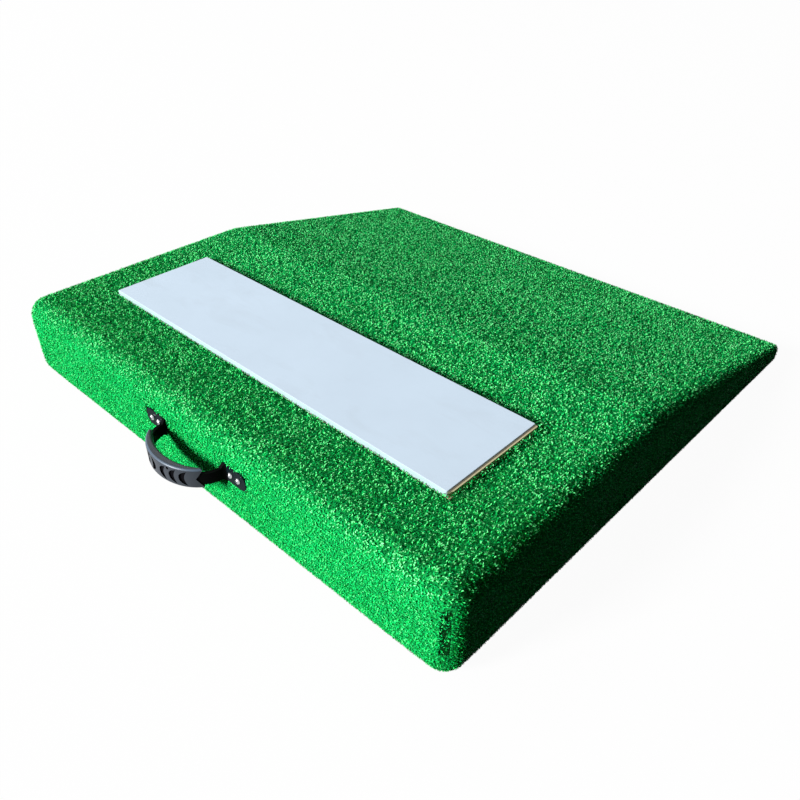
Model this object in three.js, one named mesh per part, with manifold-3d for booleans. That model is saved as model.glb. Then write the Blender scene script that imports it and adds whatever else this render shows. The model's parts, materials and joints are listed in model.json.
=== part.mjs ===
// Portable pitching mound: a plywood wedge, padded with foam and wrapped in artificial turf,
// with a pitching rubber bolted to its level part and a carrying handle on its tall back face.
// Millimetres. X runs along the rubber, +Y from the back face down the slope to the toe, Z up.
// The origin is the middle of the mound's footprint on the ground.

import * as THREE from 'three';
import { mergeVertices } from 'three/addons/utils/BufferGeometryUtils.js';
import Module from 'manifold-3d';

const wasm = await Module();
wasm.setup();

// Outer shape, measured to the tips of the pile
const moundWidth = 796;
const moundLength = 786;
const moundHeight = 122;
const platformDepth = 350; // level part, from the back face to where the break begins
const toeHeight = 36;
const edgeRadius = 28;
const breakRadius = 120;

// Skins
const turfThickness = 10; // backing and standing pile
const hemThickness = 5; // backing and the pile crushed under the mound
const hemWidth = 70; // from the outer face to the edge of the bottom window
const hemCornerRadius = 30;
const foamThickness = 8;
const seatGap = 0.3; // between pieces that touch

// Plywood frame
const panelThickness = 12;
const deckThickness = 9;
const baseThickness = 9;
const ribNames = ['left_rib', 'centre_rib', 'right_rib'];
const ribNoseHeight = 10;
const toeSetback = 3; // frame's front edge, behind the middle of the round toe
const toeStripNose = 2.5; // least height of the toe strip's front edge
const bearerWidth = 70;
const bearerDepth = 20;
const cornerBlockSize = 25;
const gripSheetGap = 2; // round the sheet in its window

// Deck screws, countersunk
const deckScrewRadius = 2;
const deckScrewHeadRadius = 4;
const deckScrewRim = 0.4; // upright edge of the head
const deckScrewBite = 15.7; // into a rib
const deckScrewCover = 3; // wood left below the front row's points
const deckScrewFromBlock = 18; // of a row from the handle's block or the bearer

// Pitching rubber, 24 by 6 inches
const rubberLength = 610;
const rubberWidth = 152;
const rubberThickness = 12;
const rubberFromBack = 101.5;
const rubberBed = 3.5; // turf left under the rubber
const rubberGap = 0.8; // between the rubber's sides and the pile
const rubberCornerRadius = 4;
const rubberBevel = 1.5;

// Bolts that hold the rubber from below
const boltCount = 4;
const boltInset = 40; // from the rubber's ends to the outer bolts
const boltRadius = 3;
const boltHeadRadius = 5.8; // across the corners of its hexagon
const boltHeadHeight = 4;
const boltShy = 1; // of the bolt's hole from the top of its insert
const washerRadius = 9;
const washerThickness = 1.6;
const insertWall = 1.7;
const insertCover = 4; // rubber left over an insert

// Carrying handle, placed from the top and the middle of the back face
const handleOffset = 12;
const handleDrop = 43;
const handleBed = 5; // turf left under the tabs
const strapThickness = 4;
const strapHeight = 23; // of the tabs
const legTop = 6.2; // of the legs, up and down from the handle's middle
const legBottom = 8.8;
const legRamp = 4; // out from the pile, over which a leg narrows
const strapBend = 6;
const strapCoreHeight = 12; // inside the grip
const tabLength = 32; // flat part of a tab, past its bend
const tabCornerRadius = 10;
const legReach = 58.5; // from the handle's middle to the middle of a leg
const handleReach = 41.6; // from the pile to the middle of the strap
const gripAngle = 29; // degrees along the bow, from a leg's foot to the grip's end
const gripWall = 3.4; // over the strap, at the grip's middle
const gripEndWall = 0.8;
const gripHeight = 27;
const gripBevel = 2;
const tongueLength = 8; // of the strap's point in the grip's notched end
const tongueSpread = 1.5; // how far the point's edges run on, as a share of its length
const slotAngles = [56, 69, 83]; // degrees along the bow, repeated on its other half
const slotHeight = 17.5;
const slotWidth = 7;
const slotBow = 6; // how far a slot's ends lie behind its middle
const slotDepth = 1.4;

// Handle screws and the block that they bite into
const handleScrewRadius = 2.4;
const handleScrewHeadRadius = 4.4;
const handleScrewHeadHeight = 2.6;
const handleScrewBite = 11.8; // into the block
const handleScrewPitch = 14;
const handleScrewFromBend = 5.5;
const backerThickness = 22;
const backerBelow = 16; // below the screws
const backerPast = 12; // past the outer screws

// Smoothness
const edgeSteps = 6;
const roundSteps = 10;
const bowSteps = 20;
const bevelSteps = 2;

const alongX = new THREE.Vector3(1, 0, 0);
const alongY = new THREE.Vector3(0, 1, 0);
const alongZ = new THREE.Vector3(0, 0, 1);
const down = alongZ.clone().negate();
const outOfBack = alongY.clone().negate();

// Levels and lines that several pieces share
const backFace = -moundLength / 2;
const toeRadius = toeHeight / 2;
const toeCentre = new THREE.Vector2(moundLength / 2 - toeRadius, toeRadius);
const breakCentre = new THREE.Vector2(backFace + platformDepth, moundHeight - breakRadius);
const toToe = toeCentre.clone().sub(breakCentre);
const slopeNormalAngle =
  Math.atan2(toToe.y, toToe.x) + Math.acos((breakRadius - toeRadius) / toToe.length());
const slopeNormal = new THREE.Vector3(0, Math.cos(slopeNormalAngle), Math.sin(slopeNormalAngle));
const slopeReach = slopeNormal.y * toeCentre.x + slopeNormal.z * toeCentre.y + toeRadius;

const foamInset = turfThickness + seatGap;
const frameInset = foamInset + foamThickness + seatGap;
const frameFloor = hemThickness + seatGap;
const frameHalfWidth = moundWidth / 2 - frameInset;
const frameBack = backFace + frameInset;
const deckTop = moundHeight - frameInset;
const deckUnderside = deckTop - deckThickness;
const wallTop = deckUnderside - seatGap;
const wallInset = frameInset + deckThickness + seatGap;
const wallFoot = frameFloor + baseThickness + seatGap;
const backPanelFront = frameBack + panelThickness;
const wallInside = frameHalfWidth - panelThickness;

// Height of the slope at a place along Y, at an inset below the pile tips
function slopeHeight(y, inset) {
  return (slopeReach - inset - slopeNormal.y * y) / slopeNormal.z;
}

// Place along Y where the slope, at an inset, comes down to a height
function slopePlace(z, inset) {
  return (slopeReach - inset - slopeNormal.z * z) / slopeNormal.y;
}

const frameFront = Math.min(toeCentre.x - toeSetback, slopePlace(frameFloor + toeStripNose, wallInset));
const deckJoint = slopePlace(deckTop, frameInset);
const wallBreak = slopePlace(wallTop, wallInset);
const ribFront = slopePlace(wallFoot + ribNoseHeight, wallInset);
const baseFront = slopePlace(frameFloor + baseThickness, wallInset);

const deckScrewLength = deckThickness + seatGap + deckScrewBite;
const deckScrewFrontRow = slopePlace(wallFoot + deckScrewBite + deckScrewCover, wallInset);

const rubberMiddle = backFace + rubberFromBack + rubberWidth / 2;
const rubberUnderside = moundHeight - turfThickness + rubberBed + seatGap;
const insertRadius = boltRadius + seatGap + insertWall;
const insertHeight = rubberThickness - insertCover;
const handleHeight = moundHeight - handleDrop;
const tabBack = turfThickness - handleBed - seatGap; // from the pile tips into the turf
const tabMiddle = tabBack - strapThickness / 2;
const tabFace = tabBack - strapThickness;
const tabReach = legReach + strapBend + tabLength; // from the handle's middle to a tab's tip
const gripThickness = strapThickness + 2 * gripWall;
const gripEndThickness = strapThickness + 2 * gripEndWall;
const handleScrewLength = backPanelFront + seatGap + handleScrewBite - backFace - tabFace;

// Solids and meshes

function solidOf(geometry) {
  const bare = geometry.clone();
  bare.deleteAttribute('normal');
  bare.deleteAttribute('uv');
  const merged = mergeVertices(bare);
  const triVerts = [];
  const corners = merged.index.array;
  for (let i = 0; i < corners.length; i += 3) {
    const [a, b, c] = [corners[i], corners[i + 1], corners[i + 2]];
    if (a !== b && b !== c && c !== a) {
      triVerts.push(a, b, c);
    }
  }
  return new wasm.Manifold(new wasm.Mesh({
    numProp: 3,
    vertProperties: new Float32Array(merged.attributes.position.array),
    triVerts: new Uint32Array(triVerts),
  }));
}

function geometryOf(solid) {
  const mesh = solid.getMesh();
  const geometry = new THREE.BufferGeometry();
  geometry.setAttribute('position', new THREE.BufferAttribute(mesh.vertProperties, 3));
  geometry.setIndex(new THREE.BufferAttribute(mesh.triVerts, 1));
  geometry.computeVertexNormals();
  return geometry;
}

function cut(solid, tools) {
  return tools.reduce((left, tool) => left.subtract(tool), solid);
}

function piece(name, solid, material) {
  const mesh = new THREE.Mesh(geometryOf(solid), material);
  mesh.name = name;
  return mesh;
}

function block(left, right, back, front, low, high) {
  const geometry = new THREE.BoxGeometry(right - left, front - back, high - low);
  return solidOf(geometry.translate((left + right) / 2, (back + front) / 2, (low + high) / 2));
}

// A side outline of [y, z] points, drawn out along X
function acrossMound(points, left, right) {
  const shape = new THREE.Shape(points.map(([y, z]) => new THREE.Vector2(y, z)));
  const geometry = new THREE.ExtrudeGeometry(shape, { depth: right - left, bevelEnabled: false });
  const place = new THREE.Matrix4().makeBasis(alongY, alongZ, alongX).setPosition(left, 0, 0);
  return solidOf(geometry.applyMatrix4(place));
}

// A plan shape, drawn up from a height, with its edges eased by the bevel
function upFrom(shape, low, high, bevel = 0) {
  const geometry = new THREE.ExtrudeGeometry(shape, {
    depth: high - low - 2 * bevel,
    bevelEnabled: bevel > 0,
    bevelThickness: bevel,
    bevelSize: bevel,
    bevelOffset: -bevel,
    bevelSegments: bevelSteps,
    curveSegments: edgeSteps / 2,
  });
  return solidOf(geometry.translate(0, 0, low + bevel));
}

function roundedRectangle(halfX, halfY, cornerRadius) {
  const radius = Math.min(cornerRadius, halfX, halfY);
  const shape = new THREE.Shape();
  shape.absarc(halfX - radius, halfY - radius, radius, 0, Math.PI / 2);
  shape.absarc(radius - halfX, halfY - radius, radius, Math.PI / 2, Math.PI);
  shape.absarc(radius - halfX, radius - halfY, radius, Math.PI, 1.5 * Math.PI);
  shape.absarc(halfX - radius, radius - halfY, radius, 1.5 * Math.PI, 2 * Math.PI);
  return shape;
}

// A turned shape along an axis: profile of [radius, place along the axis] from its far end up
function turned(profile, axis, origin) {
  const points = profile.map(([radius, place]) => new THREE.Vector2(radius, place));
  const geometry = new THREE.LatheGeometry(points, roundSteps);
  const turn = new THREE.Quaternion().setFromUnitVectors(alongY, axis);
  geometry.applyQuaternion(turn);
  return solidOf(geometry.translate(origin.x, origin.y, origin.z));
}

// The mound's rounded wedge, drawn in by an inset, standing on a floor height
function wedge(inset, floor) {
  const quarter = Math.PI / 2;
  const backCentre = backFace + edgeRadius;
  const slopeTurn = slopeNormalAngle / quarter;
  // Centre and radius of each corner of the side outline, its radius at the mound's ends,
  // and the quarter turns between which its arc runs
  const corners = [
    { y: backCentre, z: floor + edgeRadius - inset, radius: edgeRadius, end: edgeRadius, from: 3, to: 2 },
    { y: backCentre, z: moundHeight - edgeRadius, radius: edgeRadius, end: edgeRadius, from: 2, to: 1 },
    { y: breakCentre.x, z: breakCentre.y, radius: breakRadius, end: edgeRadius, from: 1, to: slopeTurn },
    { y: toeCentre.x, z: toeCentre.y, radius: toeRadius, end: toeRadius, from: slopeTurn, to: 0 },
    { y: toeCentre.x, z: floor + toeRadius - inset, radius: toeRadius, end: toeRadius, from: 0, to: -1 },
  ];
  const outline = (side, turn) => corners.flatMap((corner) => {
    const steps = Math.max(2, Math.ceil(edgeSteps * Math.abs(corner.from - corner.to)));
    const end = corner.end - inset;
    const reach = corner.radius - inset - end + end * Math.cos(turn);
    const x = side * (moundWidth / 2 - corner.end + end * Math.sin(turn));
    return Array.from({ length: steps + 1 }, (_, step) => {
      const angle = quarter * THREE.MathUtils.lerp(corner.from, corner.to, step / steps);
      return [x, corner.y + reach * Math.cos(angle), corner.z + reach * Math.sin(angle)];
    });
  });
  const turns = Array.from({ length: edgeSteps + 1 }, (_, step) => (quarter * step) / edgeSteps);
  const rows = [
    ...turns.toReversed().map((turn) => outline(-1, turn)),
    ...turns.map((turn) => outline(1, turn)),
  ];
  const columns = rows[0].length;
  const index = [];
  for (let row = 0; row < rows.length - 1; row += 1) {
    for (let column = 0; column < columns; column += 1) {
      const a = row * columns + column;
      const b = row * columns + ((column + 1) % columns);
      index.push(a, a + columns, b + columns, a, b + columns, b);
    }
  }
  const last = (rows.length - 1) * columns;
  for (let column = 1; column < columns - 1; column += 1) {
    index.push(0, column, column + 1, last, last + column + 1, last + column);
  }
  const geometry = new THREE.BufferGeometry();
  geometry.setAttribute('position', new THREE.Float32BufferAttribute(rows.flat(2), 3));
  geometry.setIndex(index);
  return solidOf(geometry);
}

// Finishes

function finish(color, roughness, metalness = 0) {
  return new THREE.MeshStandardMaterial({ color, roughness, metalness });
}

const turfGreen = finish(0x2f9a4b, 0.95);
const foamGrey = finish(0x8c8f92, 0.95);
const plywood = finish(0xd0ae7c, 0.75);
const timber = finish(0xc79a62, 0.75);
const blackRubber = finish(0x1b1c1d, 0.9);
const whiteRubber = finish(0xd9e4ee, 0.55);
const blackPlastic = finish(0x15171a, 0.4);
const greyGrip = finish(0x4a5157, 0.65);
const steel = finish(0xc4c7ca, 0.3, 1);
const zinc = finish(0xb3b08f, 0.4, 1);
const brass = finish(0xb8934a, 0.35, 1);

// Screws, bolts and the holes that take them. A hole is the same turned shape, grown by the seat gap.

function deckScrew(axis, origin, grow = 0) {
  const radius = deckScrewRadius + grow;
  const headRadius = deckScrewHeadRadius + grow;
  return turned([
    [0, -deckScrewLength - grow],
    [radius, radius - deckScrewLength],
    [radius, radius - headRadius - deckScrewRim],
    [headRadius, -deckScrewRim],
    [headRadius, grow],
    [0, grow],
  ], axis, origin);
}

function handleScrew(origin) {
  return turned([
    [0, -handleScrewLength],
    [handleScrewRadius, handleScrewRadius - handleScrewLength],
    [handleScrewRadius, seatGap],
    [handleScrewHeadRadius, seatGap],
    [handleScrewHeadRadius, seatGap + handleScrewHeadHeight / 2],
    [handleScrewHeadRadius / 2, seatGap + handleScrewHeadHeight],
    [0, seatGap + handleScrewHeadHeight],
  ], outOfBack, origin);
}

function rod(radius, low, high, axis, origin) {
  return turned([[0, low], [radius, low], [radius, high], [0, high]], axis, origin);
}

function collar(inner, outer, low, high, axis, origin) {
  return turned([[inner, low], [outer, low], [outer, high], [inner, high], [inner, low]], axis, origin);
}

const ribPitch = (2 * (wallInside + panelThickness / 2)) / (ribNames.length + 1);
const ribPlaces = ribNames.map((name, place) => ribPitch * (place - (ribNames.length - 1) / 2));

const fromBearer = bearerWidth / 2 + deckScrewFromBlock;
const flatScrewRows = [backPanelFront + backerThickness + deckScrewFromBlock, deckJoint - fromBearer];
const slopeScrewRows = [deckJoint + fromBearer, deckScrewFrontRow];
const flatScrewPlaces = flatScrewRows.flatMap(
  (y) => ribPlaces.map((x) => new THREE.Vector3(x, y, deckTop)),
);
const slopeScrewPlaces = slopeScrewRows.flatMap(
  (y) => ribPlaces.map((x) => new THREE.Vector3(x, y, slopeHeight(y, frameInset))),
);
const deckScrewHoles = [
  ...flatScrewPlaces.map((origin) => deckScrew(alongZ, origin, seatGap)),
  ...slopeScrewPlaces.map((origin) => deckScrew(slopeNormal, origin, seatGap)),
];

const boltEnd = rubberLength / 2 - boltInset;
const boltPlaces = Array.from({ length: boltCount }, (_, place) => {
  const x = THREE.MathUtils.lerp(-boltEnd, boltEnd, place / (boltCount - 1));
  return new THREE.Vector3(x, rubberMiddle, wallTop);
});
const boltTop = rubberUnderside + insertHeight - boltShy;
const boltHeadTop = wallTop - washerThickness - seatGap;
const boltHeadLow = boltHeadTop - boltHeadHeight;

function boltRod({ x, y }, radius, low, high) {
  return rod(radius, low, high, alongZ, new THREE.Vector3(x, y, 0));
}

const boltHoles = boltPlaces.map((place) => boltRod(place, boltRadius + seatGap, wallTop, boltTop));
const boltRoom = boltPlaces.map(
  (place) => boltRod(place, washerRadius + seatGap, boltHeadLow - seatGap, deckUnderside),
);

const handleOrigin = new THREE.Vector3(handleOffset, backFace, handleHeight);
const innerScrew = legReach + strapBend + handleScrewFromBend;
const outerScrew = innerScrew + handleScrewPitch;
const handleScrewPlaces = [-outerScrew, -innerScrew, innerScrew, outerScrew].map(
  (x) => new THREE.Vector3(handleOffset + x, backFace + tabFace, handleHeight),
);
const handleScrewHoles = handleScrewPlaces.map(
  (origin) => rod(
    handleScrewRadius + seatGap, -handleScrewLength - seatGap, seatGap, outOfBack, origin,
  ),
);

// Frame

const frameLimit = wedge(foamInset, frameFloor);

function basePanel() {
  const high = frameFloor + baseThickness;
  const board = block(-frameHalfWidth, frameHalfWidth, frameBack, baseFront, frameFloor, high);
  return board.intersect(frameLimit);
}

function toeStrip() {
  const back = baseFront + seatGap;
  const outline = [
    [back, frameFloor],
    [frameFront, frameFloor],
    [frameFront, slopeHeight(frameFront, wallInset)],
    [back, slopeHeight(back, wallInset)],
  ];
  return acrossMound(outline, -frameHalfWidth, frameHalfWidth).intersect(frameLimit);
}

function gripSheet() {
  const inset = hemWidth + gripSheetGap;
  const plan = roundedRectangle(moundWidth / 2 - inset, moundLength / 2 - inset, hemCornerRadius);
  return upFrom(plan, 0, hemThickness);
}

function backPanel() {
  const panel = block(-frameHalfWidth, frameHalfWidth, frameBack, backPanelFront, wallFoot, wallTop);
  return cut(panel, handleScrewHoles);
}

const wallOutline = [
  [backPanelFront + seatGap, wallFoot],
  [ribFront, wallFoot],
  [ribFront, wallFoot + ribNoseHeight],
  [wallBreak, wallTop],
  [backPanelFront + seatGap, wallTop],
];

function sidePanel(side) {
  const [left, right] = [side * wallInside, side * frameHalfWidth].sort((a, b) => a - b);
  return acrossMound(wallOutline, left, right);
}

function cornerBlock(side) {
  const outer = wallInside - seatGap;
  const [left, right] = [side * (outer - cornerBlockSize), side * outer].sort((a, b) => a - b);
  const back = backPanelFront + seatGap;
  return block(left, right, back, back + cornerBlockSize, wallFoot, wallTop);
}

const backerEnd = outerScrew + backerPast;
const backerLow = handleHeight - backerBelow;

function backerBlock(grow) {
  const back = backPanelFront + seatGap;
  return block(
    handleOffset - backerEnd - grow, handleOffset + backerEnd + grow,
    back - grow, back + backerThickness + grow, backerLow - grow, wallTop + grow,
  );
}

const bearerLow = wallTop - bearerDepth;

function bearer() {
  const [back, front] = [deckJoint - bearerWidth / 2, deckJoint + bearerWidth / 2];
  const outline = [
    [back, bearerLow],
    [front, bearerLow],
    [front, slopeHeight(front, wallInset)],
    [wallBreak, wallTop],
    [back, wallTop],
  ];
  const end = wallInside - seatGap;
  return cut(acrossMound(outline, -end, end), deckScrewHoles);
}

// Each rib is notched round the bearer, the handle's block and the heads of the rubber's bolts
const bearerNotch = block(
  -wallInside, wallInside, deckJoint - bearerWidth / 2 - seatGap, deckJoint + bearerWidth / 2 + seatGap,
  bearerLow - seatGap, deckUnderside,
);

function rib(x) {
  const plain = acrossMound(wallOutline, x - panelThickness / 2, x + panelThickness / 2);
  return cut(plain, [bearerNotch, backerBlock(seatGap), ...boltRoom, ...deckScrewHoles]);
}

function flatDeck() {
  const deck = block(
    -frameHalfWidth, frameHalfWidth, frameBack, deckJoint - seatGap / 2, deckUnderside, deckTop,
  );
  return cut(deck, [...boltHoles, ...deckScrewHoles]);
}

function slopeDeck() {
  const back = deckJoint + seatGap / 2;
  const outline = [
    [back, slopeHeight(back, frameInset + deckThickness)],
    [frameFront, slopeHeight(frameFront, frameInset + deckThickness)],
    [frameFront, slopeHeight(frameFront, frameInset)],
    [back, slopeHeight(back, frameInset)],
  ];
  return cut(acrossMound(outline, -frameHalfWidth, frameHalfWidth), deckScrewHoles);
}

const frame = new THREE.Group();
frame.add(
  piece('base_panel', basePanel(), plywood),
  piece('toe_strip', toeStrip(), timber),
  piece('grip_sheet', gripSheet(), blackRubber),
  piece('back_panel', backPanel(), plywood),
  piece('left_side_panel', sidePanel(-1), plywood),
  piece('right_side_panel', sidePanel(1), plywood),
  piece('left_corner_block', cornerBlock(-1), timber),
  piece('right_corner_block', cornerBlock(1), timber),
  piece('break_bearer', bearer(), timber),
  piece('handle_backer', cut(backerBlock(0), handleScrewHoles), timber),
  piece('flat_deck', flatDeck(), plywood),
  piece('slope_deck', slopeDeck(), plywood),
);
ribNames.forEach((name, place) => frame.add(piece(name, rib(ribPlaces[place]), plywood)));
flatScrewPlaces.forEach((origin, place) => {
  frame.add(piece(`flat_deck_screw_${place + 1}`, deckScrew(alongZ, origin), zinc));
});
slopeScrewPlaces.forEach((origin, place) => {
  frame.add(piece(`slope_deck_screw_${place + 1}`, deckScrew(slopeNormal, origin), zinc));
});

// Covers

function foamUnderlay() {
  const inset = foamInset + foamThickness;
  const front = frameFront + seatGap;
  const inside = [
    [backFace + inset, -toeHeight],
    [front, -toeHeight],
    [front, slopeHeight(front, inset)],
    [slopePlace(moundHeight - inset, inset), moundHeight - inset],
    [backFace + inset, moundHeight - inset],
  ];
  const room = acrossMound(inside, inset - moundWidth / 2, moundWidth / 2 - inset);
  return cut(frameLimit.subtract(room), [...boltHoles, ...handleScrewHoles]);
}

function turfCover() {
  const plan = roundedRectangle(moundWidth / 2 - hemWidth, moundLength / 2 - hemWidth, hemCornerRadius);
  const window = upFrom(plan, -seatGap, hemThickness + turfThickness);
  const rubberSeat = block(
    -rubberLength / 2 - rubberGap, rubberLength / 2 + rubberGap,
    rubberMiddle - rubberWidth / 2 - rubberGap, rubberMiddle + rubberWidth / 2 + rubberGap,
    rubberUnderside - seatGap, moundHeight + seatGap,
  );
  const tabSeats = [-1, 1].map((side) => {
    const ends = [side * (legReach - strapThickness / 2 - seatGap), side * (tabReach + seatGap)];
    const [left, right] = ends.sort((a, b) => a - b);
    return block(
      handleOffset + left, handleOffset + right, backFace - seatGap, backFace + tabBack + seatGap,
      handleHeight - strapHeight / 2 - seatGap, handleHeight + strapHeight / 2 + seatGap,
    );
  });
  const skin = wedge(0, 0).subtract(wedge(turfThickness, hemThickness));
  return cut(skin, [window, rubberSeat, ...tabSeats, ...boltHoles, ...handleScrewHoles]);
}

const cover = new THREE.Group();
cover.add(
  piece('foam_underlay', foamUnderlay(), foamGrey),
  piece('turf_cover', turfCover(), turfGreen),
);

// Pitching rubber with its inserts, bolts and washers

function rubberSlab() {
  const plan = roundedRectangle(rubberLength / 2, rubberWidth / 2, rubberCornerRadius);
  const slab = upFrom(plan, 0, rubberThickness, rubberBevel);
  const holes = boltPlaces.map(({ x }) => rod(
    insertRadius + seatGap, -seatGap, insertHeight + seatGap, alongZ, new THREE.Vector3(x, 0, 0),
  ));
  return cut(slab, holes);
}

const rubberGroup = new THREE.Group();
rubberGroup.position.set(0, rubberMiddle, rubberUnderside);
rubberGroup.add(piece('pitching_rubber', rubberSlab(), whiteRubber));

function rubberBolt(origin) {
  const head = new THREE.CylinderGeometry(boltHeadRadius, boltHeadRadius, boltHeadHeight, 6);
  const headMiddle = (boltHeadLow + boltHeadTop) / 2;
  head.rotateX(Math.PI / 2).translate(origin.x, origin.y, headMiddle);
  return solidOf(head).add(boltRod(origin, boltRadius, headMiddle, boltTop - seatGap));
}

const fixings = new THREE.Group();
boltPlaces.forEach((origin, place) => {
  const washer = collar(boltRadius + seatGap, washerRadius, 0, washerThickness, down, origin);
  const insertBase = new THREE.Vector3(origin.x, origin.y, rubberUnderside);
  const insert = collar(boltRadius + seatGap, insertRadius, 0, insertHeight, alongZ, insertBase);
  fixings.add(
    piece(`rubber_bolt_${place + 1}`, rubberBolt(origin), steel),
    piece(`rubber_washer_${place + 1}`, washer, steel),
    piece(`rubber_insert_${place + 1}`, insert, brass),
  );
});

// Handle, in its own place: X along the strap, -Y out from the pile, Z up

const bowFoot = tabMiddle - strapBend;
const bowReach = handleReach + bowFoot;

// A point of the strap's middle line on the bow, at an angle from the +X leg's foot
function bowPoint(angle) {
  return new THREE.Vector2(legReach * Math.cos(angle), bowFoot - bowReach * Math.sin(angle));
}

function bowOutward(angle) {
  return new THREE.Vector2(bowReach * Math.cos(angle), -legReach * Math.sin(angle)).normalize();
}

const gripStart = THREE.MathUtils.degToRad(gripAngle);

// Outer and inner faces of a stretch of the bow
function bowStretch(from, to, halfThickness) {
  const angles = Array.from(
    { length: bowSteps + 1 },
    (_, step) => THREE.MathUtils.lerp(from, to, step / bowSteps),
  );
  return [1, -1].map((side) => angles.map(
    (angle) => bowPoint(angle).addScaledVector(bowOutward(angle), side * halfThickness(angle)),
  ));
}

function bowShape(from, to, halfThickness) {
  const [outer, inner] = bowStretch(from, to, halfThickness);
  return new THREE.Shape([...outer, ...inner.reverse()]);
}

// Tab, bend and leg on one side, up to an angle along the bow
function legShape(side, toAngle) {
  const half = strapThickness / 2;
  const bendCentre = new THREE.Vector2(legReach + strapBend, bowFoot);
  const shape = new THREE.Shape();
  shape.moveTo(tabReach, tabBack);
  shape.lineTo(bendCentre.x, tabBack);
  shape.absarc(bendCentre.x, bendCentre.y, strapBend + half, Math.PI / 2, Math.PI);
  const [outer, inner] = bowStretch(0, toAngle, () => half);
  inner.slice(1).forEach(({ x, y }) => shape.lineTo(x, y));
  outer.reverse().slice(0, -1).forEach(({ x, y }) => shape.lineTo(x, y));
  shape.absarc(bendCentre.x, bendCentre.y, strapBend - half, Math.PI, Math.PI / 2, true);
  shape.lineTo(tabReach, tabFace);
  const points = shape.getPoints(edgeSteps / 2);
  return new THREE.Shape(points.map(({ x, y }) => new THREE.Vector2(side * x, y)));
}

// A flat shape of [towards the bow's middle, up] points, drawn through the bow square to its face
function throughBow(points, angle, low, high) {
  const outward = bowOutward(angle);
  const along = new THREE.Vector3(-outward.y, outward.x, 0);
  const normal = new THREE.Vector3(outward.x, outward.y, 0);
  const foot = bowPoint(angle);
  const towardsMiddle = angle < Math.PI / 2 ? -1 : 1;
  const shape = new THREE.Shape(points.map(([x, y]) => new THREE.Vector2(x * towardsMiddle, y)));
  const geometry = new THREE.ExtrudeGeometry(shape, { depth: high - low, bevelEnabled: false });
  const place = new THREE.Matrix4().makeBasis(along, alongZ, normal);
  place.setPosition(foot.x + normal.x * low, foot.y + normal.y * low, 0);
  return solidOf(geometry.applyMatrix4(place));
}

// Points of the strap's tongue: its tip, and its edges run back past the grip's end
const tongueHalf = strapHeight / 2;
const spreadHalf = tongueHalf * tongueSpread;

function tongueEdge(shift) {
  const back = tongueLength * (1 - tongueSpread) + shift;
  return [[back, spreadHalf], [tongueLength + shift, 0], [back, -spreadHalf]];
}

const gripEnds = [gripStart, Math.PI - gripStart];
const bowRate = Math.hypot(legReach * Math.sin(gripStart), bowReach * Math.cos(gripStart));
const tongueTurn = tongueLength / bowRate; // angle along the bow that the tongue takes up

// Cuts above and below that leave the legs narrower than the tabs
function legTrims() {
  const past = strapHeight / 2 + seatGap;
  const out = -handleReach - gripThickness;
  return [legTop, -legBottom].map((edge) => {
    const limit = Math.sign(edge) * past;
    return acrossMound([[0, limit], [-legRamp, edge], [out, edge], [out, limit]], -tabReach, tabReach);
  });
}

function handleStrap() {
  const [low, high] = [-strapHeight / 2, strapHeight / 2];
  const core = bowShape(gripStart / 2, Math.PI - gripStart / 2, () => strapThickness / 2);
  const legs = [1, -1].map((side) => upFrom(legShape(side, gripStart + tongueTurn), low, high));
  const pastTongue = tongueLength * 2;
  const tongueCuts = gripEnds.map((angle) => throughBow(
    [...tongueEdge(0), [pastTongue, -spreadHalf], [pastTongue, spreadHalf]],
    angle, -gripThickness, gripThickness,
  ));
  const pointed = cut(legs[0].add(legs[1]), tongueCuts);
  const whole = pointed.add(upFrom(core, -strapCoreHeight / 2, strapCoreHeight / 2));
  const outline = roundedRectangle(tabReach, strapHeight / 2, tabCornerRadius);
  const depth = handleReach + gripThickness + turfThickness;
  const trim = new THREE.ExtrudeGeometry(outline, {
    depth,
    bevelEnabled: false,
    curveSegments: edgeSteps / 2,
  });
  const place = new THREE.Matrix4().makeBasis(alongX, alongZ, outOfBack).setPosition(0, turfThickness, 0);
  const holes = handleScrewPlaces.map((origin) => rod(
    handleScrewRadius + seatGap, -strapThickness - seatGap, seatGap,
    outOfBack, origin.clone().sub(handleOrigin),
  ));
  return cut(whole.intersect(solidOf(trim.applyMatrix4(place))), [...legTrims(), ...holes]);
}

function slotOutline() {
  const half = slotWidth / 2;
  const steps = Array.from({ length: edgeSteps + 1 }, (_, step) => (2 * step) / edgeSteps - 1);
  const ahead = steps.map((u) => [half - (half + slotBow) * u * u, (u * slotHeight) / 2]);
  const behind = steps.map((u) => [-half - (slotBow - half) * u * u, (u * slotHeight) / 2]);
  return [...ahead, ...behind.slice(1, -1).toReversed()];
}

function handleGrip() {
  const span = Math.PI - 2 * gripStart;
  const halfThickness = (angle) => {
    const swell = Math.sin((Math.PI * (angle - gripStart)) / span);
    return THREE.MathUtils.lerp(gripEndThickness, gripThickness, swell) / 2;
  };
  const body = upFrom(bowShape(...gripEnds, halfThickness), -gripHeight / 2, gripHeight / 2, gripBevel);
  const channelHalf = strapCoreHeight / 2 + seatGap;
  const channelShape = bowShape(0, Math.PI, () => strapThickness / 2 + seatGap);
  const channel = upFrom(channelShape, -channelHalf, channelHalf);
  const tongueGap = (seatGap * Math.hypot(tongueHalf, tongueLength)) / tongueHalf;
  const notches = gripEnds.map(
    (angle) => throughBow(tongueEdge(tongueGap), angle, -gripThickness, gripThickness),
  );
  const slots = slotAngles.flatMap((degrees) => [degrees, 180 - degrees]).map((degrees) => {
    const angle = THREE.MathUtils.degToRad(degrees);
    const floor = halfThickness(angle) - slotDepth;
    return throughBow(slotOutline(), angle, floor, floor + gripThickness);
  });
  return cut(body, [channel, ...notches, ...slots]);
}

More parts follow.
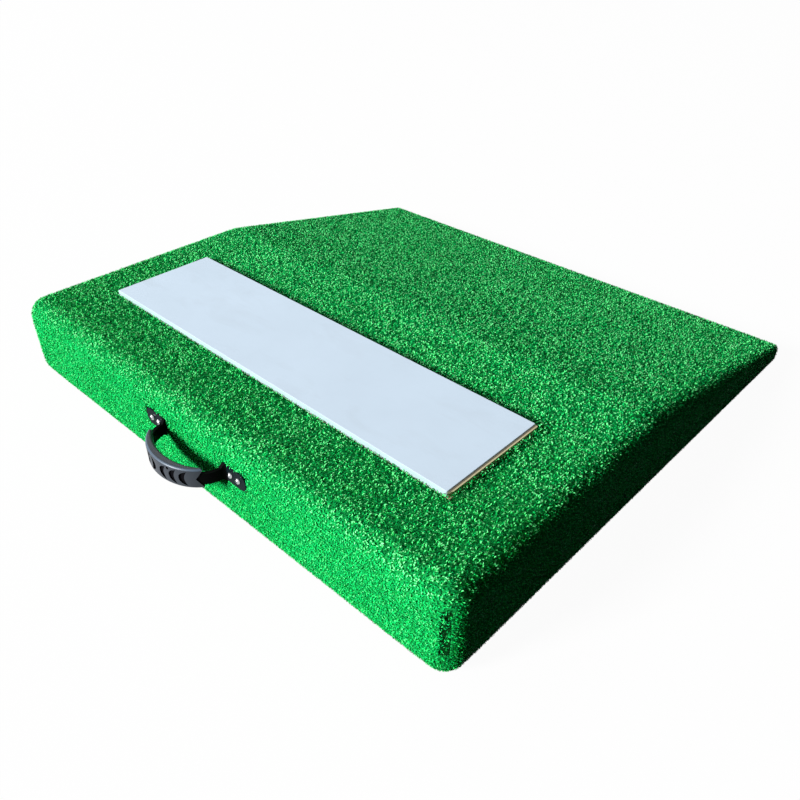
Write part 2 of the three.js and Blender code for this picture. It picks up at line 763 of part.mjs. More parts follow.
const handle = new THREE.Group();
handle.position.copy(handleOrigin);
handle.add(
  piece('handle_strap', handleStrap(), blackPlastic),
  piece('handle_grip', handleGrip(), greyGrip),
);
handleScrewPlaces.forEach((origin, place) => {
  handle.add(piece(`handle_screw_${place + 1}`, handleScrew(origin.clone().sub(handleOrigin)), steel));
});

const mound = new THREE.Group();
mound.name = 'portable_pitching_mound';
mound.add(frame, cover, rubberGroup, fixings, handle);

export default mound;
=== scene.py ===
import json
import math

import bmesh
import bpy
import numpy as np
from mathutils import Matrix, Vector

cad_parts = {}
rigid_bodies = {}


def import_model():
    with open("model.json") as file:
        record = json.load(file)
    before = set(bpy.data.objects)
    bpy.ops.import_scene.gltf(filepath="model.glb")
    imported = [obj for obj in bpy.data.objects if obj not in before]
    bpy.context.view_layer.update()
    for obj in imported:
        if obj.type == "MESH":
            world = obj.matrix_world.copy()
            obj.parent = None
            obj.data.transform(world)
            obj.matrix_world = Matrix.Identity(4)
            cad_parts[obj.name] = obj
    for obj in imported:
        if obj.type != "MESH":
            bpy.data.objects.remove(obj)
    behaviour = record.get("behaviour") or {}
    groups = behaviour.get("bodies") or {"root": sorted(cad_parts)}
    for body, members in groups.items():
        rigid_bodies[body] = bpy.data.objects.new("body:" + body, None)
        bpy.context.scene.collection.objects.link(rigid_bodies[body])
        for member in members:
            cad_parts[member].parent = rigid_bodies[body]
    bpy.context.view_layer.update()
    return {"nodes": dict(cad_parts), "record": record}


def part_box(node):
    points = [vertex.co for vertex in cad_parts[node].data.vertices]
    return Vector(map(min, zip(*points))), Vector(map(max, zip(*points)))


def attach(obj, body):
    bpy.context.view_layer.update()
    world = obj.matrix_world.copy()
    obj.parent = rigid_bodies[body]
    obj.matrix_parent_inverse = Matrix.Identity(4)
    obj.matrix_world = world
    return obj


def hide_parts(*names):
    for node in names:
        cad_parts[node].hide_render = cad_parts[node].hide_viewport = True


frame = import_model()
nodes = frame["nodes"]
scene = bpy.context.scene
scene.view_settings.view_transform = "Standard"
print("frame loaded:", len(nodes), "nodes")

# Camera, as the photograph was taken
photoCamera = {
    "azimuth": 42.80,
    "elevation": 35.82,
    "roll": 0.42,
    "distance": 0.99152,
    "target": (0.10277, -0.14148, 0.060),
    "focalPixels": 767.15,
    "imageWidth": 800,
    "sensorWidth": 36,
}


# Direction from the mound to a camera or lamp
def directionOf(look):
    azimuth, elevation = math.radians(look["azimuth"]), math.radians(look["elevation"])
    level = math.cos(elevation)
    return Vector((math.sin(azimuth) * level, -math.cos(azimuth) * level, math.sin(elevation)))


def addCamera(look):
    azimuth, roll = math.radians(look["azimuth"]), math.radians(look["roll"])
    back = directionOf(look)
    right = Vector((math.cos(azimuth), math.sin(azimuth), 0))
    up = back.cross(right)
    rolledRight = math.cos(roll) * right + math.sin(roll) * up
    rolledUp = math.cos(roll) * up - math.sin(roll) * right
    camera = bpy.data.cameras.new("photoCamera")
    camera.sensor_width = look["sensorWidth"]
    camera.lens = look["sensorWidth"] * look["focalPixels"] / look["imageWidth"]
    holder = bpy.data.objects.new("photoCamera", camera)
    scene.collection.objects.link(holder)
    place = Matrix((rolledRight, rolledUp, back)).transposed().to_4x4()
    place.translation = Vector(look["target"]) + look["distance"] * back
    holder.matrix_world = place
    scene.camera = holder


addCamera(photoCamera)
print("camera set")


# Small helpers for node trees
def pick(sockets, key):
    if isinstance(key, int):
        return sockets[key]
    return next(socket for socket in sockets if socket.name == key and socket.enabled)


def addNode(tree, kind, inputs=None, **settings):
    made = tree.nodes.new(kind)
    for key, value in settings.items():
        setattr(made, key, value)
    for key, value in (inputs or {}).items():
        socket = pick(made.inputs, key)
        if isinstance(value, bpy.types.NodeSocket):
            tree.links.new(value, socket)
        else:
            socket.default_value = value
    return made


def outputOf(tree, kind, inputs=None, **settings):
    return addNode(tree, kind, inputs, **settings).outputs[0]


def mathOf(tree, operation, first, second=0.0):
    return outputOf(tree, "ShaderNodeMath", {0: first, 1: second}, operation=operation)


def vectorOf(tree, operation, first, second=(0, 0, 0)):
    return outputOf(tree, "ShaderNodeVectorMath", {0: first, 1: second}, operation=operation)


def scaleOf(tree, vector, scale):
    return outputOf(tree, "ShaderNodeVectorMath", {0: vector, "Scale": scale}, operation="SCALE")


def partsOf(tree, vector):
    return addNode(tree, "ShaderNodeSeparateXYZ", {0: vector}).outputs


def alongZ(tree, value):
    return outputOf(tree, "ShaderNodeCombineXYZ", {2: value})


def mixOf(tree, kind, share, first, second):
    made = addNode(tree, "ShaderNodeMix", {"Factor": share, "A": first, "B": second}, data_type=kind)
    return pick(made.outputs, "Result")


def rangeOf(tree, value, start, stop, low=0.0, high=1.0, smooth=False):
    return outputOf(tree, "ShaderNodeMapRange", {
        "Value": value, "From Min": start, "From Max": stop, "To Min": low, "To Max": high,
    }, interpolation_type="SMOOTHSTEP" if smooth else "LINEAR")


def objectPlace(tree):
    return addNode(tree, "ShaderNodeTexCoord").outputs["Object"]


# A rotation with a turn about its own axis added
def spunOf(tree, rotation, spin):
    turn = outputOf(tree, "FunctionNodeEulerToRotation", {0: alongZ(tree, spin)})
    return outputOf(tree, "FunctionNodeRotateRotation", {
        "Rotation": rotation, "Rotate By": turn,
    }, rotation_space="LOCAL")


def newTree(name, kind, inputs, outputs):
    tree = bpy.data.node_groups.new(name, kind)
    for label, socketKind, value in inputs:
        socket = tree.interface.new_socket(label, in_out="INPUT", socket_type=socketKind)
        if value is not None:
            socket.default_value = value
    for label, socketKind in outputs:
        tree.interface.new_socket(label, in_out="OUTPUT", socket_type=socketKind)
    return tree, tree.nodes.new("NodeGroupInput").outputs, tree.nodes.new("NodeGroupOutput").inputs


# Shader effects that several finishes share
def buildUnevenTone():
    tree, given, result = newTree("unevenTone", "ShaderNodeTree", [
        ("Color", "NodeSocketColor", (0.5, 0.5, 0.5, 1)),
        ("Scale", "NodeSocketFloat", 20.0),
        ("Spread", "NodeSocketFloat", 0.2),
    ], [("Color", "NodeSocketColor")])
    noise = addNode(tree, "ShaderNodeTexNoise", {
        "Vector": objectPlace(tree), "Scale": given["Scale"], "Detail": 3.0, "Roughness": 0.6,
    })
    swing = mathOf(tree, "SUBTRACT", noise.outputs["Fac"], 0.5)
    level = mathOf(tree, "MULTIPLY", swing, mathOf(tree, "MULTIPLY", given["Spread"], 4.0))
    toned = scaleOf(tree, given["Color"], mathOf(tree, "ADD", level, 1.0))
    tree.links.new(toned, result["Color"])
    return tree


def buildFineGrain():
    tree, given, result = newTree("fineGrain", "ShaderNodeTree", [
        ("Scale", "NodeSocketFloat", 900.0),
        ("Strength", "NodeSocketFloat", 0.2),
        ("Depth", "NodeSocketFloat", 0.0003),
    ], [("Normal", "NodeSocketVector")])
    noise = addNode(tree, "ShaderNodeTexNoise", {
        "Vector": objectPlace(tree), "Scale": given["Scale"], "Detail": 2.0,
    })
    bump = addNode(tree, "ShaderNodeBump", {
        "Strength": given["Strength"], "Distance": given["Depth"],
        "Height": noise.outputs["Fac"],
    })
    tree.links.new(bump.outputs["Normal"], result["Normal"])
    return tree


def buildScuffs():
    tree, given, result = newTree("scuffs", "ShaderNodeTree", [
        ("Scale", "NodeSocketFloat", 14.0),
        ("Cover", "NodeSocketFloat", 0.4),
    ], [("Mask", "NodeSocketFloat")])
    smear = addNode(tree, "ShaderNodeTexNoise", {
        "Vector": vectorOf(tree, "MULTIPLY", objectPlace(tree), (0.45, 1.0, 1.0)),
        "Scale": given["Scale"], "Detail": 5.0, "Roughness": 0.62, "Distortion": 0.6,
    })
    edge = mathOf(tree, "SUBTRACT", 0.78, mathOf(tree, "MULTIPLY", given["Cover"], 0.5))
    tree.links.new(rangeOf(tree, smear.outputs["Fac"], edge, 0.85), result["Mask"])
    return tree


def buildWoodGrain():
    tree, given, result = newTree("woodGrain", "ShaderNodeTree", [
        ("Pale", "NodeSocketColor", (0.6, 0.45, 0.25, 1)),
        ("Dark", "NodeSocketColor", (0.4, 0.25, 0.12, 1)),
        ("Stretch", "NodeSocketVector", (3.0, 40.0, 40.0)),
    ], [("Color", "NodeSocketColor"), ("Height", "NodeSocketFloat")])
    rings = addNode(tree, "ShaderNodeTexNoise", {
        "Vector": vectorOf(tree, "MULTIPLY", objectPlace(tree), given["Stretch"]),
        "Scale": 1.6, "Detail": 6.0, "Roughness": 0.65, "Distortion": 1.2,
    })
    bands = rangeOf(tree, rings.outputs["Fac"], 0.38, 0.62)
    tone = mixOf(tree, "RGBA", bands, given["Pale"], given["Dark"])
    tree.links.new(tone, result["Color"])
    tree.links.new(bands, result["Height"])
    return tree


unevenTone = buildUnevenTone()
fineGrain = buildFineGrain()
scuffs = buildScuffs()
woodGrain = buildWoodGrain()


def useGroup(tree, group, inputs):
    return addNode(tree, "ShaderNodeGroup", inputs, node_tree=group).outputs


def toneOf(tree, color, scale, spread):
    return useGroup(tree, unevenTone, {"Color": color, "Scale": scale, "Spread": spread})["Color"]


def newMaterial(name, constants):
    made = bpy.data.materials.new(name)
    made.use_nodes = True
    tree = made.node_tree
    shader = tree.nodes["Principled BSDF"]
    for key, value in constants.items():
        shader.inputs[key].default_value = value
    return made, tree, shader


def opaque(color):
    return (*color, 1.0)


# One finish of a colour with uneven tone, fine grain and scuffs that change its gloss
def plainFinish(name, look):
    made, tree, shader = newMaterial(name, {
        "Specular IOR Level": look.get("specular", 0.5), "Metallic": look.get("metallic", 0.0),
    })
    tone = toneOf(tree, opaque(look["color"]), look["toneScale"], look["toneSpread"])
    mask = useGroup(tree, scuffs, {"Scale": look["scuffScale"], "Cover": look["scuffCover"]})["Mask"]
    share = mathOf(tree, "MULTIPLY", mask, look["scuffShare"])
    wearAndLightTone = mixOf(tree, "RGBA", share, tone, opaque(look["scuffColor"]))
    tree.links.new(wearAndLightTone, shader.inputs["Base Color"])
    rough = rangeOf(tree, mask, 0.0, 1.0, look["roughness"], look["scuffRoughness"])
    tree.links.new(rough, shader.inputs["Roughness"])
    grain = useGroup(tree, fineGrain, {
        "Scale": look["grainScale"], "Strength": look["grainStrength"], "Depth": look["grainDepth"],
    })["Normal"]
    tree.links.new(grain, shader.inputs["Normal"])
    return made


def woodFinish(name, look):
    made, tree, shader = newMaterial(name, {"Roughness": look["roughness"]})
    grain = useGroup(tree, woodGrain, {
        "Pale": opaque(look["pale"]), "Dark": opaque(look["dark"]), "Stretch": look["stretch"],
    })
    tone = toneOf(tree, grain["Color"], look["toneScale"], look["toneSpread"])
    tree.links.new(tone, shader.inputs["Base Color"])
    bump = addNode(tree, "ShaderNodeBump", {"Strength": 0.25, "Distance": 0.0004, "Height": grain["Height"]})
    tree.links.new(bump.outputs["Normal"], shader.inputs["Normal"])
    return made


# Pile of the artificial turf: darker at the root as painted shade deep in the pile, brighter at the curled
# tip, with a painted highlight paling the tips of the tallest blades, and a little glossy
def pileFinish(name, look):
    made, tree, shader = newMaterial(name, {"Specular IOR Level": look["specular"]})
    rise = addNode(tree, "ShaderNodeAttribute", attribute_name="bladeRise").outputs["Fac"]
    shade = addNode(tree, "ShaderNodeAttribute", attribute_name="bladeShade").outputs["Fac"]
    ramp = addNode(tree, "ShaderNodeValToRGB", {"Fac": rise})
    stops = ramp.color_ramp.elements
    stops[0].color, stops[1].color = opaque(look["root"]), opaque(look["tip"])
    stops.new(look["middlePlace"]).color = opaque(look["middle"])
    bright = rangeOf(tree, shade, 0.0, 1.0, look["dullest"], look["brightest"])
    # Painted highlight: the tallest blades pale towards their tips
    glint = mathOf(tree, "MULTIPLY", rangeOf(tree, shade, look["glintFrom"], look["glintTo"]), rise)
    tipped = mixOf(tree, "RGBA", glint, ramp.outputs["Color"], opaque(look["pale"]))
    tone = scaleOf(tree, tipped, bright)
    for label in ("tuft", "tone"):
        tone = toneOf(tree, tone, look[f"{label}Scale"], look[f"{label}Spread"])
    tree.links.new(tone, shader.inputs["Base Color"])
    rough = rangeOf(tree, shade, 0.0, 1.0, look["glossiest"], look["dullRoughness"])
    tree.links.new(rough, shader.inputs["Roughness"])
    return made


pileLook = {
    # The darker root colour is painted shade deep in the pile
    "root": (0.002, 0.520, 0.055),
    "middle": (0.008, 0.900, 0.175),
    "tip": (0.014, 0.960, 0.245),
    "pale": (0.300, 0.960, 0.410),  # painted highlight, at the tips of the tallest blades
    "glintFrom": 0.60,
    "glintTo": 0.95,
    "middlePlace": 0.45,
    "dullest": 0.10,
    "brightest": 1.08,
    "toneScale": 9.0,
    "toneSpread": 0.05,
    "tuftScale": 120.0,
    "tuftSpread": 0.03,
    "glossiest": 0.35,
    "dullRoughness": 0.60,
    "specular": 0.006,
}
pileGreen = pileFinish("pileGreen", pileLook)
bedLook = {
    "toneScale": 400.0, "toneSpread": 0.35, "roughness": 0.9, "scuffRoughness": 0.95,
    "specular": 0.0, "grainScale": 700.0, "grainStrength": 0.8, "grainDepth": 0.001,
}
pileBed = plainFinish("pileBed", {
    **bedLook, "color": (0.008, 0.280, 0.058),
    "scuffScale": 30.0, "scuffCover": 0.2, "scuffShare": 0.3, "scuffColor": (0.004, 0.03, 0.008),
})
# Painted shade: near-black for the seams' gaps
seamDark = plainFinish("seamDark", {
    **bedLook, "color": (0.004, 0.045, 0.010),
    "scuffScale": 300.0, "scuffCover": 0.3, "scuffShare": 0.5, "scuffColor": (0.004, 0.05, 0.010),
})
latexBacking = plainFinish("latexBacking", {
    "color": (0.020, 0.022, 0.020), "toneScale": 60.0, "toneSpread": 0.2,
    "scuffScale": 20.0, "scuffCover": 0.4, "scuffShare": 0.4, "scuffColor": (0.06, 0.06, 0.055),
    "roughness": 0.7, "scuffRoughness": 0.85, "specular": 0.1,
    "grainScale": 500.0, "grainStrength": 0.6, "grainDepth": 0.0006,
})
print("turf finishes made")


# Mesh helpers
def placeMesh(name, mesh, materials, smooth):
    for material in materials:
        mesh.materials.append(material)
    mesh.polygons.foreach_set("use_smooth", [smooth] * len(mesh.polygons))
    made = bpy.data.objects.new(name, mesh)
    scene.collection.objects.link(made)
    return made


def meshObject(name, vertices, faces, materials, smooth=False):
    mesh = bpy.data.meshes.new(name)
    mesh.from_pydata([tuple(point) for point in vertices], [], faces)
    mesh.update()
    return placeMesh(name, mesh, materials, smooth)


def fromBmesh(name, shape, materials, smooth=False):
    mesh = bpy.data.meshes.new(name)
    shape.to_mesh(mesh)
    shape.free()
    return placeMesh(name, mesh, materials, smooth)


def faceOutwards(shape):
    bmesh.ops.recalc_face_normals(shape, faces=shape.faces)


# Runs one step on a piece's mesh
def reshape(piece, step):
    shape = bmesh.new()
    shape.from_mesh(piece.data)
    step(shape)
    shape.to_mesh(piece.data)
    shape.free()
    return piece


# Turns the evaluated object into a plain mesh and drops its modifiers
def freeze(piece):
    graph = bpy.context.evaluated_depsgraph_get()
    mesh = bpy.data.meshes.new_from_object(
        piece.evaluated_get(graph), preserve_all_data_layers=True, depsgraph=graph,
    )
    piece.modifiers.clear()
    old = piece.data
    piece.data = mesh
    bpy.data.meshes.remove(old)
    mesh.name = piece.name
    return piece


def carve(piece, cutters, operation="DIFFERENCE"):
    for cutter in cutters:
        step = piece.modifiers.new("carve", "BOOLEAN")
        step.object = cutter
        step.operation = operation
        step.solver = "EXACT"
        step.material_mode = "TRANSFER"
    freeze(piece)
    for cutter in cutters:
        bpy.data.objects.remove(cutter)
    return piece


def boxObject(name, low, high, material):
    low, high = Vector(low), Vector(high)
    shape = bmesh.new()
    bmesh.ops.create_cube(shape, size=1.0)
    place = Matrix.Translation((high + low) / 2) @ Matrix.Diagonal((*(high - low), 1))
    bmesh.ops.transform(shape, matrix=place, verts=shape.verts)
    return fromBmesh(name, shape, [material])


# A flat outline of (x, y) points drawn along Z
def prismObject(name, points, low, high, materials):
    shape = bmesh.new()
    face = shape.faces.new([shape.verts.new((x, y, low)) for x, y in points])
    drawn = bmesh.ops.extrude_face_region(shape, geom=[face])
    top = [part for part in drawn["geom"] if isinstance(part, bmesh.types.BMVert)]
    bmesh.ops.translate(shape, vec=(0, 0, high - low), verts=top)
    faceOutwards(shape)
    return fromBmesh(name, shape, materials)


def roundedRectangle(halfX, halfY, radius, steps):
    points = []
    for quarter, (signX, signY) in enumerate([(1, 1), (-1, 1), (-1, -1), (1, -1)]):
        for step in range(steps + 1):
            angle = (quarter + step / steps) * math.pi / 2
            points.append((
                signX * (halfX - radius) + radius * math.cos(angle),
                signY * (halfY - radius) + radius * math.sin(angle),
            ))
    return points


def finishPiece(piece, replaced=()):
    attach(piece, "root")
    if replaced:
        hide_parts(*replaced)
    return piece


# The mound's rounded wedge, drawn in from the pile tips by an inset
moundShape = {
    "platform": 0.350,
    "toeHeight": 0.036,
    "edgeRadius": 0.028,
    "footRadius": 0.024,
    "toeEnd": 0.0105,
    "toeFoot": 0.012,
    "breakRadius": 0.120,
    "leastRadius": 0.0005,
    "cornerPull": 0.0055,  # inwards, of the feet of the back corners
    "cornerReach": 0.040,
    "cornerRise": 0.070,
    "edgeSteps": 8,
    "acrossSteps": 16,
    "flatSteps": [4, 10, 14, 1, 16],
}
turfLow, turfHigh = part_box("turf_cover")
rubberLow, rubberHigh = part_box("pitching_rubber")
breakLine = turfLow.y + moundShape["platform"]
slopeSplit = (breakLine + turfHigh.y) / 2


def wedgeShape(inset, floorZ):
    edge = moundShape["edgeRadius"]
    toeRadius = moundShape["toeHeight"] / 2
    breakRadius = moundShape["breakRadius"]
    foot = moundShape["footRadius"]
    toeEnd, toeFoot = moundShape["toeEnd"], moundShape["toeFoot"]
    backY = turfLow.y + edge
    toeY = turfHigh.y - toeRadius
    breakZ = turfHigh.z - breakRadius
    toToe = Vector((toeY - breakLine, toeRadius - breakZ))
    slopeAngle = math.atan2(toToe.y, toToe.x) + math.acos((breakRadius - toeRadius) / toToe.length)
    quarter = math.pi / 2
    corners = [
        (turfLow.y + foot, floorZ + foot - inset, foot, foot, 3 * quarter, 2 * quarter),
        (backY, turfHigh.z - edge, edge, edge, 2 * quarter, quarter),
        (breakLine, breakZ, breakRadius, edge, quarter, slopeAngle),
        (toeY, toeRadius, toeRadius, toeEnd, slopeAngle, 0),
        (turfHigh.y - toeFoot, floorZ + toeFoot - inset, toeFoot, toeEnd, 0, -quarter),
    ]

    def outline(side, turn):
        arcs = []
        for y, z, radius, endRadius, start, stop in corners:
            end = max(endRadius - inset, moundShape["leastRadius"])
            reach = radius - inset - end + end * math.cos(turn)
            x = side * (turfHigh.x - endRadius + end * math.sin(turn))
            steps = max(3, round(moundShape["edgeSteps"] * abs(start - stop) / quarter))
            angles = np.linspace(start, stop, steps + 1)
            arcs.append([(x, y + reach * math.cos(a), z + reach * math.sin(a)) for a in angles])
        points = []
        for place, arc in enumerate(arcs):
            points += arc
            ahead = np.array(arcs[(place + 1) % len(arcs)][0])
            shares = np.linspace(0, 1, moundShape["flatSteps"][place] + 1)[1:-1]
            points += [tuple(np.array(arc[-1]) * (1 - share) + ahead * share) for share in shares]
        return np.array(points)

    def roundFeet(points):
        x, y, z = points.T
        away = np.hypot(turfHigh.x - np.abs(x), y - turfLow.y)
        close = np.clip(1 - away / moundShape["cornerReach"], 0, 1) ** 2
        lowness = np.clip(1 - z / moundShape["cornerRise"], 0, 1)
        pull = moundShape["cornerPull"] * close * lowness * math.sqrt(0.5)
        return np.stack([x - np.sign(x) * pull, y + pull, z], axis=1)

    turns = np.linspace(0, quarter, moundShape["edgeSteps"] + 1)
    left, right = outline(-1, 0), outline(1, 0)
    shares = np.linspace(0, 1, moundShape["acrossSteps"] + 1)[1:-1]
    rows = [outline(-1, turn) for turn in turns[::-1]]
    rows += [left * (1 - share) + right * share for share in shares]
    rows += [outline(1, turn) for turn in turns]
    shape = bmesh.new()
    grid = [[shape.verts.new(point) for point in roundFeet(row)] for row in rows]
    for near, far in zip(grid, grid[1:]):
        for column in range(len(near)):
            ahead = (column + 1) % len(near)
            shape.faces.new([near[column], far[column], far[ahead], near[ahead]])
    bmesh.ops.remove_doubles(shape, verts=shape.verts, dist=1e-5)
    rims = [line for line in shape.edges if line.is_boundary]
    bmesh.ops.holes_fill(shape, edges=rims, sides=0)
    faceOutwards(shape)
    return shape


# Turf: a skin of backing with a bed of short pile, and the curled blades that stand on it
turf = {
    "thickness": turfHigh.z - rubberLow.z + 0.0038,
    "pileHeight": 0.0025,
    "hemThickness": 0.005,
    "hemPile": 0.0016,
    "hemWidth": 0.070,
    "hemCorner": 0.030,
    "ledge": 0.0034,  # of the rubber's base, past its +X end
    "rubberGap": 0.0005,  # from the rubber to the blades' roots
    "rubberSeat": 0.0006,  # from the rubber to the skin round it
    "tabGap": 0.0006,
    "tabSeat": 0.0004,
    "tabFront": 0.02,
    "tabDepth": 0.0050,
    "bladeGap": 0.0002,  # from the rubber and the tabs to the blades' tips
    "legReach": 0.0565,
    "seamTurn": 38.0,
    "seamHalf": 0.0052,
    "seamRows": (-0.0026, 0.0, 0.0026),
    "seamBare": 0.0006,  # half the width without blades, before its edges are made ragged
    "seamRagged": 0.0040,
    "seamDepth": 0.0010,
    "seamReach": 0.006,  # of the bare strip, in and out of the skin
    "seamLow": 0.040,
    "seamHigh": 0.104,
    "flatSize": (1.18, 1.08),  # as cut, with its flaps and hem
}
strapLow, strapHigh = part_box("handle_strap")
handleMiddle = (strapLow + strapHigh) / 2


def tabBoxes(grow, front):
    boxes = []
    for side in (-1, 1):
        ends = sorted((side * turf["legReach"], side * ((strapHigh.x - strapLow.x) / 2 + grow)))
        boxes.append((
            Vector((handleMiddle.x + ends[0], turfLow.y - front, strapLow.z - grow)),
            Vector((handleMiddle.x + ends[1], turfLow.y + turf["tabDepth"], strapHigh.z + grow)),
        ))
    return boxes


def rubberBox(grow, under=0.0003, over=0.02):
    low = Vector((rubberLow.x - grow, rubberLow.y - grow, rubberLow.z - under))
    high = Vector((rubberHigh.x + turf["ledge"] + grow, rubberHigh.y + grow, rubberHigh.z + over))
    return low, high


# Seams where the back flap meets the side flaps, up the rounded corners, each at a turn from the back face
def seamPlaces():
    turn = math.radians(turf["seamTurn"])
    edge = moundShape["edgeRadius"]
    reach = edge - turf["pileHeight"]
    x = turfHigh.x - edge + reach * math.sin(turn)
    y = turfLow.y + edge - reach * math.cos(turn)
    return [(side * turn, Vector((side * x, y, 0))) for side in (-1, 1)]


def seamBoxes():
    low = Vector((-turf["seamBare"], -turf["seamReach"], turf["seamLow"]))
    high = Vector((turf["seamBare"], turf["seamReach"], turf["seamHigh"]))
    rows = [Vector((x, 0, 0)) for x in turf["seamRows"]]
    return [(place + row + low, place + row + high) for turn, place in seamPlaces() for row in rows]


# The seams' carved faces take a near-black finish, painted shade in the gap between the flaps
def seamCuts():
    half, cuts = turf["seamHalf"], []
    for turn, place in seamPlaces():
        cut = boxObject(
            "seam", (-half, -0.01, turf["seamLow"]), (half, turf["seamDepth"], turf["seamHigh"]), seamDark,
        )
        cut.data.transform(Matrix.Translation(place) @ Matrix.Rotation(turn, 4, "Z"))
        cuts.append(cut)
    return cuts


def makeSkin():
    skin = fromBmesh("turf_backing", wedgeShape(turf["pileHeight"], turf["hemPile"]), [pileBed], smooth=True)
    inside = fromBmesh("inside", wedgeShape(turf["thickness"], turf["hemThickness"]), [latexBacking])
    window = prismObject("window", roundedRectangle(
        turfHigh.x - turf["hemWidth"], turfHigh.y - turf["hemWidth"], turf["hemCorner"], 8,
    ), -0.01, 0.01, [latexBacking])
    boxes = [rubberBox(turf["rubberSeat"]), *tabBoxes(turf["tabSeat"], turf["tabFront"])]
    seats = [boxObject("seat", low, high, latexBacking) for low, high in boxes]
    carve(skin, [inside, window, *seats, *seamCuts()])
    return finishPiece(skin, ["turf_cover"])


# Curled blades, each a narrow ribbon along a curve, with its rise stored for the finish
blade = {
    "width": 0.00108,
    "size": 0.58,
    "rise": 0.60,
    "tipShare": 0.75,
    "segments": 3,
    "curls": [  # start, two handles and end of each curve, in millimetres
        [(0, 0, 0), (-0.6, 0.0, 2.8), (0.6, 0.4, 5.2), (3.6, 1.4, 3.0)],
        [(0, 0, 0), (0.9, -0.7, 2.8), (-1.6, 1.6, 5.4), (-3.2, -1.0, 2.8)],
        [(0, 0, 0), (0.2, 0.8, 2.8), (2.4, 2.2, 5.0), (5.0, 0.2, 3.2)],
        [(0, 0, 0), (-0.8, 0.5, 3.2), (2.2, 1.0, 5.4), (1.2, -2.2, 3.2)],
        [(0, 0, 0), (0.6, 0.6, 3.0), (-0.5, -2.2, 5.2), (3.0, -2.8, 2.8)],
        [(0, 0, 0), (0.2, -0.4, 2.4), (1.8, 0.4, 4.4), (4.2, -1.4, 2.4)],
    ],
}


def makeBlade(name, curl):
    spread, tall = 0.001 * blade["size"], 0.001 * blade["rise"]
    start, first, second, stop = (Vector((x * spread, y * spread, z * tall)) for x, y, z in curl)
    vertices, rises = [], []
    for step in range(blade["segments"] + 1):
        t = step / blade["segments"]
        rest = 1 - t
        point = rest ** 3 * start + 3 * rest * rest * t * first + 3 * rest * t * t * second + t ** 3 * stop
        along = 3 * rest * rest * (first - start) + 6 * rest * t * (second - first)
        along = along + 3 * t * t * (stop - second)
        across = Vector((stop.x, stop.y, 0.0)) if t == 0 else Vector((0, 0, 1))
        side = along.cross(across).normalized()
        if vertices and side.dot(vertices[-1] - vertices[-2]) < 0:
            side = -side
        half = blade["width"] / 2 * (1 - (1 - blade["tipShare"]) * t)
        vertices += [point - side * half, point + side * half]
        rises += [t, t]
    faces = [(2 * k, 2 * k + 1, 2 * k + 3, 2 * k + 2) for k in range(blade["segments"])]
    made = meshObject(name, vertices, faces, [pileGreen], smooth=True)
    made.data.attributes.new("bladeRise", "FLOAT", "POINT").data.foreach_set("value", rises)
    return made


def makeBlades():
    holder = bpy.data.collections.new("turfBlades")
    for place, curl in enumerate(blade["curls"]):
        made = makeBlade(f"blade{place}", curl)
        scene.collection.objects.unlink(made)
        holder.objects.link(made)
    return holder


# How the blades stand on the skin: lean and height by region, tone spread by region as painted light, and the
# heap against the rubber
pile = {
    "spacing": 0.00135,
    "density": 900000.0,
    "tilt": 0.26,
    "swirl": 0.18,
    "swirlScale": 16.0,
    "leanBack": (0.0, 0.22, 0.0),
    "leanFront": (0.06, -0.10, 0.0),
    "leanFrom": -0.29,
    "leanTo": -0.02,
    "slopeShare": 0.85,  # of the blades' height, on the slope
    "tuftPitch": 0.0030,
    "tuftCore": 0.28,  # distances from a tuft's middle, as shares of the pitch
    "tuftRim": 0.70,
    "domeShare": 0.48,  # of a blade's height and tone, from its place in the tuft; the tone darker at a tuft's rim is painted shade in the gaps
    "tuftShare": 0.10,  # from the tuft that it belongs to
    "wallLightSpread": 0.70,  # of the spread in tone, on the walls, kept narrow as painted light where the lamp falls square on them
    "evenFrom": 0.35,  # upward part of the normal
    "evenTo": 0.98,
    "levelLightSpread": 2.30,  # on the level part, stretched as painted light and shade where the lamp grazes it
    "slopeLightSpread": 1.70,  # on the slope, stretched as painted light and shade where the lamp grazes it
    "shortest": 0.40,
    "tallest": 1.20,
    "footRise": 0.030,  # up to where the floor presses the pile down
    "footShare": 0.18,
    "floor": 0.0004,
    "heapRise": 0.0032,  # of the pile against the far side of the rubber
    "heapEnd": 0.0045,  # against the end with the lip
    "heapNear": 0.0018,  # against the near side
    "heapReach": 0.014,
    "cornerReach": 0.009,  # of the pile against the near end of the lip
    "cornerCore": 0.004,
    "raggedScale": 320.0,
    "hemShare": 0.25,  # of the blades' height, on the hem
    "hemSpacing": 1.5,
    "hemTilt": -0.75,  # parts of a face's normal that set its region
    "sideTilt": 0.72,
}


# Gives a tree's result its finish
def endTree(tree, given, result, shape):
    finished = outputOf(tree, "GeometryNodeSetMaterial", {
        "Geometry": shape, "Material": given["Finish"],
    })
    tree.links.new(finished, result["Geometry"])
    return tree


def leastOf(tree, parts):
    return mathOf(tree, "MINIMUM", mathOf(tree, "MINIMUM", parts[0], parts[1]), parts[2])


